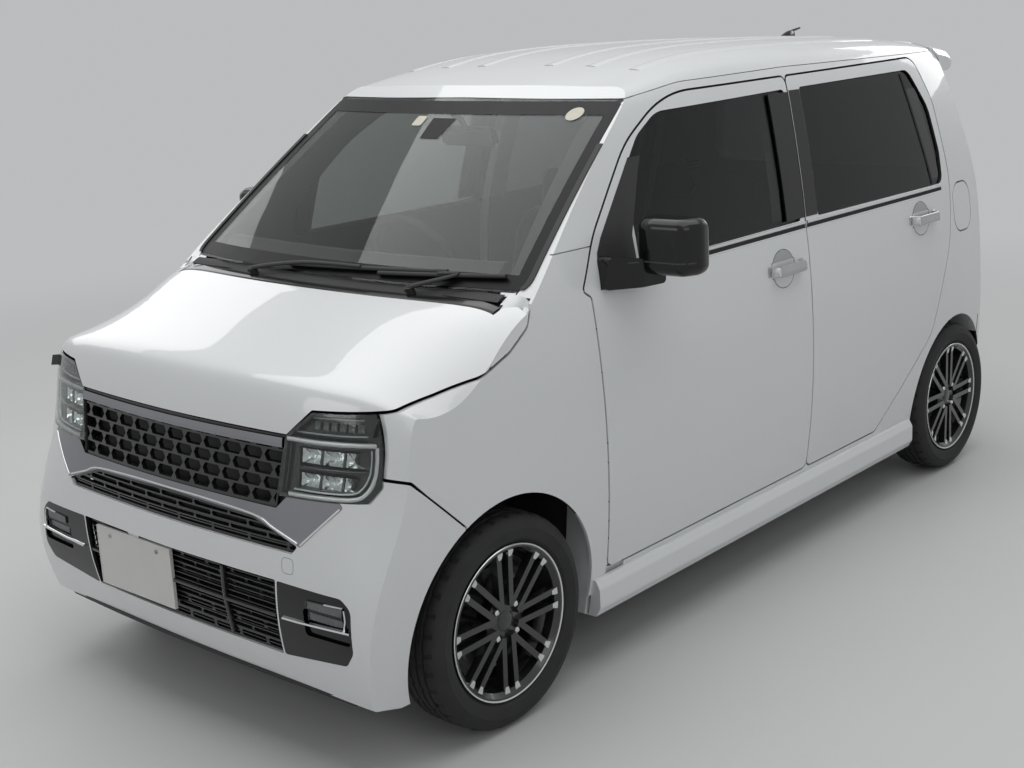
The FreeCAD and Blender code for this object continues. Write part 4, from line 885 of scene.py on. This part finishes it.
# Scuttle: a black strip under the glass and a painted corner at each end, ahead of the screen pillars


def patch(name, rows, material, thickness=0.002, across=10):
    """A panel from rows of (left point, right point)."""
    upper = [Vector(a).lerp(Vector(b), k / across) for a, b in rows for k in range(across + 1)]
    slab(name, upper, [point - Vector((0, 0, thickness)) for point in upper], across, material, "body")


SCUTTLE = [(1.1050, 1.0755), (1.0960, 1.0815), (1.0860, 1.0865), (1.0775, 1.0895)]  # (x, z) from front to back
CORNER = [(0.632, 1.1180, 1.0590), (0.646, 1.1080, 1.0590), (0.658, 1.0975, 1.0595), (0.670, 1.0850, 1.0600),
          (0.682, 1.0790, 1.0585), (0.694, 1.0785, 1.0560), (0.706, 1.0785, 1.0515), (0.7135, 1.0785, 1.0440)]
CORNER_BACK = 1.0630
patch("scuttle_strip", [((x, -0.628, z), (x, 0.628, z)) for x, z in SCUTTLE], BLACK_PLASTIC, across=40)
for side, tag in SIDES:
    rows = []
    for y, x, z in CORNER:
        back_z = 1.0905 - 0.10 * (y - CORNER[0][0]) - 1.8 * max(y - 0.690, 0)
        rows.append(((CORNER_BACK, side * y, back_z), (x, side * y, z)))
    patch("scuttle_corner_" + tag, rows, PAINT, thickness=0.004)

# Roof: long low beads and the short aerial

TOP_SKIN = surface_tree("roof", "tailgate")
half_bead = [(0.026, -0.002), (0.018, 0.0012), (0.010, 0.0034)]
BEAD = [(-a, b) for a, b in half_bead] + half_bead[::-1]


def from_above(x, y):
    return hit(TOP_SKIN, (x, y, ABOVE_Z), (0, 0, -1))


for k, y in enumerate((-0.46, -0.30, -0.14, 0.14, 0.30, 0.46)):
    sweep(f"roof_bead_{k}", [from_above(x, y) for x in steps_between(0.30, -1.10, 40)], BEAD, PAINT, "body")


def aerial(foot, length=0.104, width=0.032, rise=0.030):
    """A shark-fin foot and a short stem that leans back."""
    rings = []
    for t in steps_between(0, 1, 10):
        height = rise * math.sin(min(t * 1.25, 1.0) * math.pi / 2)
        half_width = width / 2 * (0.35 + 0.65 * math.sin(math.pi * min(t + 0.12, 1.0)) ** 0.5)
        half_height = height * 0.5 + 0.004
        spot = foot + Vector((length / 2 - length * t, 0, height * 0.5 - 0.003))
        rings.append([spot + Vector((0, math.cos(a) * half_width, math.sin(a) * half_height)) for a in around(14)])
    loft("aerial_foot", rings, BLACK_GLOSS, "body")
    stem = [foot + Vector((-0.010, 0, 0.022)), foot + Vector((-0.050, 0, 0.0295)), foot + Vector((-0.098, 0, 0.0370))]
    tube_along("aerial_stem", stem, [0.0055, 0.0048, 0.0036], BLACK_PLASTIC, up=(0, 1, 0))


aerial(from_above(-1.300, 0)[0])

# Roof spoiler: the thick end blocks that turn down beside the rear window, as corners (x, z) at each y

SPOILER = {
    0.430: ((-1.468, 1.598), (-1.625, 1.577), (-1.606, 1.560), (-1.520, 1.548)),
    0.490: ((-1.468, 1.592), (-1.612, 1.570), (-1.596, 1.540), (-1.510, 1.528)),
    0.535: ((-1.468, 1.578), (-1.596, 1.556), (-1.586, 1.512), (-1.505, 1.506)),
    0.556: ((-1.470, 1.556), (-1.578, 1.536), (-1.574, 1.500), (-1.506, 1.498)),
}
for side, tag in SIDES:
    rings = [spline([(x, side * y, z) for x, z in (*corners, corners[0])], 5)[:-1] for y, corners in SPOILER.items()]
    loft("spoiler_end_" + tag, rings, PAINT, "tailgate")


# The back: blank plate, bright bar, handle slot, stop lamp, reflectors, lamp ribs and wiper

REAR = surface_tree("tailgate", "rear_bumper", "tailgate_glass", "tail_lamps", "side_frames")
REAR_PLATE_Z = 0.745


def behind(y, z, lift=0.0):
    """The rear surface at y and z."""
    return hit(REAR, (-AHEAD_X, y, z), (1, 0, 0), lift)


def rear_panel(name, rows, lift, thickness, material, body, across=14):
    """A layer on the rear surface from rows of (y start, y end, z)."""
    spots = [behind(y, z, lift) for y0, y1, z in rows for y in steps_between(y0, y1, across)]
    back = [point - normal * thickness for point, normal in spots]
    slab(name, [point for point, _ in spots], back, across, material, body)


def rear_line(name, path, profile, material, body, lift=0.0):
    """A moulding along a path of (y, z) on the rear surface."""
    spots = [behind(p.y, p.z, lift) for p in dense(upright(path), 0.02)]
    sweep(name, spots, profile, material, body)


plate_low, plate_high = REAR_PLATE_Z - PLATE_RISE, REAR_PLATE_Z + PLATE_RISE
plate_rim = rounded(0.0035, 0.0024)
rear_panel("rear_plate_recess", block(-0.215, 0.215, REAR_PLATE_Z - 0.105, REAR_PLATE_Z + 0.115, 6), 0.0008, 0.002,
           BLACK_PLASTIC, "tailgate")
rear_panel("rear_plate", block(-PLATE_HALF, PLATE_HALF, plate_low, plate_high, 6), 0.006, 0.0022, PLATE, "tailgate")
for k, y in enumerate((-PLATE_HALF, PLATE_HALF)):
    path = [(y, plate_low + 0.0005), (y, plate_high - 0.0005)]
    rear_line(f"rear_plate_side_{k}", path, plate_rim, PLATE, "tailgate", 0.0055)
for k, z in enumerate((plate_low, plate_high)):
    rear_line(f"rear_plate_rim_{k}", [(-PLATE_HALF, z), (PLATE_HALF, z)], plate_rim, PLATE, "tailgate", 0.0055)
for name, reach, z, width, height, material, body in (
    ("rear_bright_bar", 0.33, 0.892, 0.024, 0.012, SMOKED_CHROME, "tailgate"),
    ("rear_handle_slot", 0.09, 0.872, 0.010, 0.006, BLACK_PLASTIC, "tailgate"),
    ("stop_lamp", 0.12, 1.585, 0.010, 0.004, RED_LENS, "tailgate"),
    ("rear_bumper_line", 0.50, 0.335, 0.060, 0.006, BLACK_PLASTIC, "body"),
):
    rear_line(name, [(-reach, z), (reach, z)], rounded(width, height), material, body)
for side, tag in SIDES:
    reflector_rows = block(side * 0.455, side * 0.575, 0.398, 0.432, 3)
    rear_panel("rear_reflector_" + tag, reflector_rows, 0.003, 0.004, RED_LENS, "body")
    for k in range(5):
        y, z = 0.664 - 0.012 * k, 0.90 + 0.055 * k
        rear_line(f"tail_rib_{tag}_{k}", [(side * (y - 0.020), z), (side * y, z)],
                  rounded(0.003, 0.0025, base=-0.001), SMOKED_CHROME, "body")


def rear_wiper(hub):
    """An arm that leans from its hub to the middle of the blade."""
    arm = spline([hub, hub + Vector((-0.010, 0.06, 0.012)), behind(0.19, 1.166, 0.016)[0]], 6)
    tube_along("rear_wiper_arm", arm, [0.0085 - 0.0003 * i for i in range(13)], BLACK_PLASTIC, "tailgate",
               up=(-1, 0, 0.3), flat=0.7)
    cap = [hub + Vector((0.012, 0, 0)), hub + Vector((-0.012, 0, 0))]
    tube_along("rear_wiper_cap", cap, [0.019, 0.014], BLACK_PLASTIC, "tailgate")
    blade = [behind(y, 1.163 + 0.010 * (y - 0.19), 0.009)[0] for y in steps_between(0.03, 0.35, 12)]
    tube_along("rear_wiper_blade", blade, [0.0065] * 13, RUBBER, "tailgate", up=(-1, 0, 0.3), flat=1.2)


rear_wiper(behind(0.0, 1.118, 0.010)[0])


# Door mirrors: the glass behind, and the groove round the casing's front as a dark strip of painted shade


def door_mirror(side, tag):
    """A thin glass 1.2 mm behind the casing's back, and a groove across its front, a dark strip that paints the shade
    in it.
    """
    tree, body = surface_tree("mirror_" + tag), BODY_OF["F" + tag]
    front = []
    for z in steps_between(1.115, 1.215, 8):
        for y in steps_between(0.772, 0.905, 12):
            front.append(hit(tree, (0.3, side * y, z), (1, 0, 0))[0] - Vector((0.0012, 0, 0)))
    slab("mirror_glass_" + tag, front, [p + Vector((0.0030, 0, 0)) for p in front], 12, REFLECTOR, body)
    groove = [hit(tree, (1.2, side * y, 1.128), (-1, 0, 0)) for y in steps_between(0.765, 0.925, 18)]
    groove = [spot for spot in groove if spot[0] is not None]
    # A dark strip: painted shade in the groove.
    sweep("mirror_groove_" + tag, groove, rounded(0.0035, 0.0008, base=-0.0003), GAP_SHADE, body)


for side, tag in SIDES:
    door_mirror(side, tag)


# Tyres with their tread, and the wheels' bright parts

FRONT_X, WHEELBASE = 1.2125, 2.520
REAR_X = FRONT_X - WHEELBASE
WHEELS = {
    "FL": (FRONT_X, 1, "wheel_front_left"), "FR": (FRONT_X, -1, "wheel_front_right"),
    "RL": (REAR_X, 1, "wheel_rear_left"), "RR": (REAR_X, -1, "wheel_rear_right"),
}
AXLE_Z = 0.281
WHEEL_Y = 0.645
# Places on the tyre are (radius, distance from its middle); the outer half is mirrored
SIDEWALL = [(0.1912, 0.0540), (0.2030, 0.0600), (0.2070, 0.0655), (0.2090, 0.0650), (0.2160, 0.0735),
            (0.2300, 0.0790), (0.2420, 0.0795), (0.2440, 0.0802), (0.2460, 0.0793), (0.2580, 0.0770),
            (0.2670, 0.0715), (0.2735, 0.0640), (0.2772, 0.0570), (0.2792, 0.0500), (0.2796, 0.0440)]
GROOVES = [(0.2798, 0.0400), (0.2735, 0.0385), (0.2735, 0.0330), (0.2802, 0.0315), (0.2806, 0.0165), (0.2742, 0.0150),
           (0.2742, 0.0095), (0.2808, 0.0080)]
INNER_HALF = [(0.262, 0.045), (0.230, 0.060), (0.1912, 0.045)]
TREAD_STEPS = 288
TREAD_LEAN = 0.05 / 0.08  # radians per metre across, for the slant of the cross cuts


def cross_cut(radius, across, step):
    """How deep the tread is cut at a step round the tyre: two steps in eight on a shoulder, two in twelve inside."""
    if radius <= 0.2768:
        return 0.0
    if abs(across) > 0.036:
        return 0.0045 if step // 2 % 4 == 0 else 0.0
    return 0.0028 if abs(across) < 0.033 and (step // 2 + (2 if across > 0 else 0)) % 6 == 0 else 0.0


def tyre(tag):
    """A tyre with sidewall ribs, shoulder blocks, four grooves and cross cuts in its tread."""
    x, side, body = WHEELS[tag]
    outer = SIDEWALL + GROOVES
    ring = outer + [(r, -a) for r, a in reversed(outer)] + [(r, -a) for r, a in reversed(INNER_HALF)] + INNER_HALF
    rings = []
    for i in range(TREAD_STEPS):
        row = []
        for r, a in ring:
            angle = 2 * math.pi * i / TREAD_STEPS + TREAD_LEAN * a
            depth = r - cross_cut(r, a, i)
            row.append((x + math.cos(angle) * depth, side * (WHEEL_Y + a), AXLE_Z + math.sin(angle) * depth))
        rings.append(row)
    item = loft("tyre_tread_" + tag, rings, TYRE_RUBBER, body, closed=True, angle=28.0)
    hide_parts("tyre_" + tag)


LIP = [(0.2010, 0.0706), (0.2035, 0.0716), (0.2047, 0.0702), (0.2035, 0.0672), (0.1945, 0.0632), (0.1925, 0.0664),
       (0.2010, 0.0706)]
CAP = [(0.0005, 0.0565), (0.014, 0.0562), (0.022, 0.0545), (0.0275, 0.0510), (0.0285, 0.0480), (0.0285, 0.0440)]
CAP_RING = [(0.0285, 0.0492), (0.0305, 0.0498), (0.0318, 0.0480), (0.0285, 0.0475), (0.0285, 0.0492)]
NUT = [(0.0004, 0.0605), (0.0052, 0.0602), (0.0085, 0.0580), (0.0092, 0.0560), (0.0092, 0.0420), (0.0118, 0.0415),
       (0.0118, 0.0380)]
NUT_RADIUS = 0.050
SPOKE_END = ((0.172, 0.0052), (0.182, 0.0086), (0.1945, 0.0098))  # (radius, half width) of a machined face
SPOKE_HALF_ANGLE = 0.105  # from an arm's middle to each of its two spokes


def wheel_details(tag):
    """The bright lip, the plain cap, the nuts and the machined spoke ends."""
    x, side, body = WHEELS[tag]
    centre = (x, side * WHEEL_Y, AXLE_Z)
    lathe("bright_lip_" + tag, LIP, centre, side, MACHINED, body, count=120)
    lathe("plain_cap_" + tag, CAP, centre, side, WHEEL_BLACK, body, count=48)
    lathe("cap_ring_" + tag, CAP_RING, centre, side, SMOKED_CHROME, body, count=48)
    for k in range(4):
        t = math.pi / 4 + k * math.pi / 2
        spot = (x + math.cos(t) * NUT_RADIUS, side * WHEEL_Y, AXLE_Z + math.sin(t) * NUT_RADIUS)
        lathe(f"nut_{tag}_{k}", NUT, spot, side, MACHINED, body, count=6, angle=10.0)
    base, out = Vector((x, side * (WHEEL_Y + 0.0602), AXLE_Z)), Vector((0, side, 0))
    for k in range(8):
        for off, letter in ((-SPOKE_HALF_ANGLE, "a"), (SPOKE_HALF_ANGLE, "b")):
            t = 2 * math.pi * k / 8 + off
            direction, across = Vector((math.cos(t), 0, math.sin(t))), Vector((-math.sin(t), 0, math.cos(t)))
            edge = [(r, base + direction * r + across * w * s) for r, w in SPOKE_END for s in (-1, 1)]
            front = [point + out * (0.0016 + (r - SPOKE_END[0][0]) * 0.16) for r, point in edge]
            back = [point - out * 0.004 for _, point in edge]
            slab(f"machined_end_{tag}_{k}_{letter}", front, back, 1, MACHINED, body, angle=20.0)


for tag in WHEELS:
    tyre(tag)
    wheel_details(tag)


# Seats: crowned pads with seams, in the space of the CAD seats


def pad(name, centre, half, crown, lean, replaces=(), channels=(), power=5.0, cuts=22):
    """A stuffed pad: a rounded box whose faces crown and whose sides pull in between the corners."""
    work = bmesh.new()
    bmesh.ops.create_cube(work, size=2.0)
    bmesh.ops.subdivide_edges(work, edges=work.edges[:], cuts=cuts, use_grid_fill=True)
    for v in work.verts:
        size = sum(abs(c) ** power for c in v.co) ** (1 / power)
        u, w, h = (c / size for c in v.co)
        top = max(h, 0.0)
        x = u * half[0] * (1 - 0.035 * (1 - w * w) * abs(h))
        y = w * half[1] * (1 - 0.02 * (1 - u * u) * abs(h))
        z = h * half[2] + crown * (1 - u * u) * (1 - w * w) * top
        for line_y in channels:
            z -= 0.006 * math.exp(-((y - line_y) / 0.006) ** 2) * top
        v.co = Vector((x, y, z))
    turn = Matrix.Translation(Vector(centre)) @ Matrix.Rotation(math.radians(lean), 4, "Y")
    bmesh.ops.transform(work, matrix=turn, verts=work.verts)
    mesh = bpy.data.meshes.new(name)
    work.to_mesh(mesh)
    work.free()
    mesh.materials.append(CLOTH)
    mesh.shade_smooth()
    item = placed(name, mesh)
    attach(item, "body")
    if replaces:
        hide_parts(*replaces)


FLOOR = 0.262
SEAT_Y = 0.340
for side, tag in ((1, "left"), (-1, "right")):
    y = side * SEAT_Y
    pad(f"front_cushion_{tag}", (0.065, y, FLOOR + 0.232), (0.250, 0.236, 0.062), 0.012, -4,
        replaces=("front_seats",) if side > 0 else (), channels=(-0.13, 0.13))
    pad(f"front_back_{tag}", (-0.268, y, FLOOR + 0.520), (0.058, 0.220, 0.300), 0.0, -14)
    pad(f"front_rest_{tag}", (-0.352, y, FLOOR + 0.868), (0.045, 0.118, 0.085), 0.0, -14)
pad("rear_cushion", (-0.740, 0, FLOOR + 0.228), (0.238, 0.540, 0.066), 0.012, 0, replaces=("rear_seat",),
    channels=(-0.27, 0, 0.27))
pad("rear_back", (-1.005, 0, FLOOR + 0.500), (0.056, 0.525, 0.285), 0.0, -12)


# Camera, light and floor

PHOTO_WIDTH = 1024  # pixels; the next three are in them too
FOCAL, SHIFT_X, SHIFT_Y = 1426.0, -60.5, -28.2
CAMERA_PLACE = (3.6425, 3.003, 1.767)
CAMERA_TURNS = (-139.86, -13.54, -2.39)  # yaw, pitch and roll
BACKDROP = (0.50, 0.505, 0.51, 1)
FADE_FROM, FADE_TO = 2.2, 7.0  # distances at which the floor runs into the backdrop's colour


def camera():
    """The photograph's camera, found from the car's own points."""
    data = bpy.data.cameras.new("camera")
    data.sensor_width = 36.0
    data.lens = FOCAL / PHOTO_WIDTH * data.sensor_width
    data.shift_x, data.shift_y = SHIFT_X / PHOTO_WIDTH, SHIFT_Y / PHOTO_WIDTH
    data.clip_end = 200.0
    yaw, pitch, roll = (math.radians(a) for a in CAMERA_TURNS)
    look = Vector((math.cos(yaw) * math.cos(pitch), math.sin(yaw) * math.cos(pitch), math.sin(pitch)))
    right = look.cross(Vector((0, 0, 1))).normalized()
    up = right.cross(look)
    right, up = right * math.cos(roll) + up * math.sin(roll), up * math.cos(roll) - right * math.sin(roll)
    item = placed("camera", data)
    item.matrix_world = Matrix.Translation(Vector(CAMERA_PLACE)) @ Matrix((right, up, -look)).transposed().to_4x4()
    bpy.context.scene.camera = item


def area(name, place, aim, width, height, power):
    """A rectangular soft light."""
    data = bpy.data.lights.new(name, "AREA")
    data.shape = "RECTANGLE"
    data.size, data.size_y = width, height
    data.energy = power
    item = placed(name, data)
    item.location = place
    item.rotation_euler = (Vector(aim) - Vector(place)).to_track_quat("-Z", "Y").to_euler()


def seen(tree):
    """One where the ray comes from the camera, a mirror or a pane of glass, and nought for light."""
    path = tree.nodes.new("ShaderNodeLightPath")
    total = path.outputs["Is Camera Ray"]
    for name in ("Is Glossy Ray", "Is Transmission Ray"):
        total = maths(tree, "MAXIMUM", total, path.outputs[name])
    return total


def mixed(tree, share, first, second, target):
    """Mixes two shaders by a share and links them to an output's surface."""
    mix = tree.nodes.new("ShaderNodeMixShader")
    for value, socket in zip((share, first, second), mix.inputs):
        tree.links.new(value, socket)
    tree.links.new(mix.outputs["Shader"], tree.nodes[target].inputs["Surface"])


def floor(reach=60.0):
    """A pale floor that keeps the shadow near the car and runs into the backdrop's colour far from it."""
    mesh = bpy.data.meshes.new("floor")
    corners = [(-reach, -reach, 0), (reach, -reach, 0), (reach, reach, 0), (-reach, reach, 0)]
    mesh.from_pydata(corners, [], [(0, 1, 2, 3)])
    material = shader("pale_floor", (0.62, 0.62, 0.615), 0.6, vary=0.02, scale=0.8, rough_vary=0.05)
    tree = material.node_tree
    place = tree.nodes.new("ShaderNodeNewGeometry")
    length = tree.nodes.new("ShaderNodeVectorMath")
    length.operation = "LENGTH"
    tree.links.new(place.outputs["Position"], length.inputs[0])
    fade = tree.nodes.new("ShaderNodeMapRange")
    fade.interpolation_type = "SMOOTHSTEP"
    fade.inputs["From Min"].default_value = FADE_FROM
    fade.inputs["From Max"].default_value = FADE_TO
    tree.links.new(length.outputs["Value"], fade.inputs["Value"])
    glow = tree.nodes.new("ShaderNodeEmission")
    glow.inputs["Color"].default_value = BACKDROP
    share = maths(tree, "MULTIPLY", fade.outputs["Result"], seen(tree))
    mixed(tree, share, tree.nodes["Principled BSDF"].outputs["BSDF"], glow.outputs["Emission"], "Material Output")
    mesh.materials.append(material)
    item = placed("floor", mesh)


def world():
    """Soft light from all round, and the pale backdrop where it is looked at."""
    studio = bpy.data.worlds.new("studio")
    bpy.context.scene.world = studio
    studio.use_nodes = True
    tree = studio.node_tree
    light = tree.nodes["Background"]
    light.inputs["Color"].default_value = (0.62, 0.63, 0.645, 1)
    light.inputs["Strength"].default_value = 0.47
    back = tree.nodes.new("ShaderNodeBackground")
    back.inputs["Color"].default_value = BACKDROP
    mixed(tree, seen(tree), light.outputs["Background"], back.outputs["Background"], "World Output")


camera()
floor()
world()
area("overhead", (0.3, 0.0, 4.6), (0.2, 0, 0), 7.0, 5.0, 150)
area("near_side", (2.5, 5.0, 3.2), (0.2, 0, 0.8), 3.5, 2.2, 22)
area("ahead", (6.0, -1.0, 3.0), (1.0, 0, 0.8), 3.0, 2.0, 30)
area("behind", (-6.0, 0.5, 3.0), (-1.0, 0, 0.9), 3.0, 2.0, 34)
area("far_side", (0.0, -5.5, 3.0), (0, 0, 0.9), 4.0, 2.0, 26)
bpy.context.scene.view_settings.view_transform = "Standard"
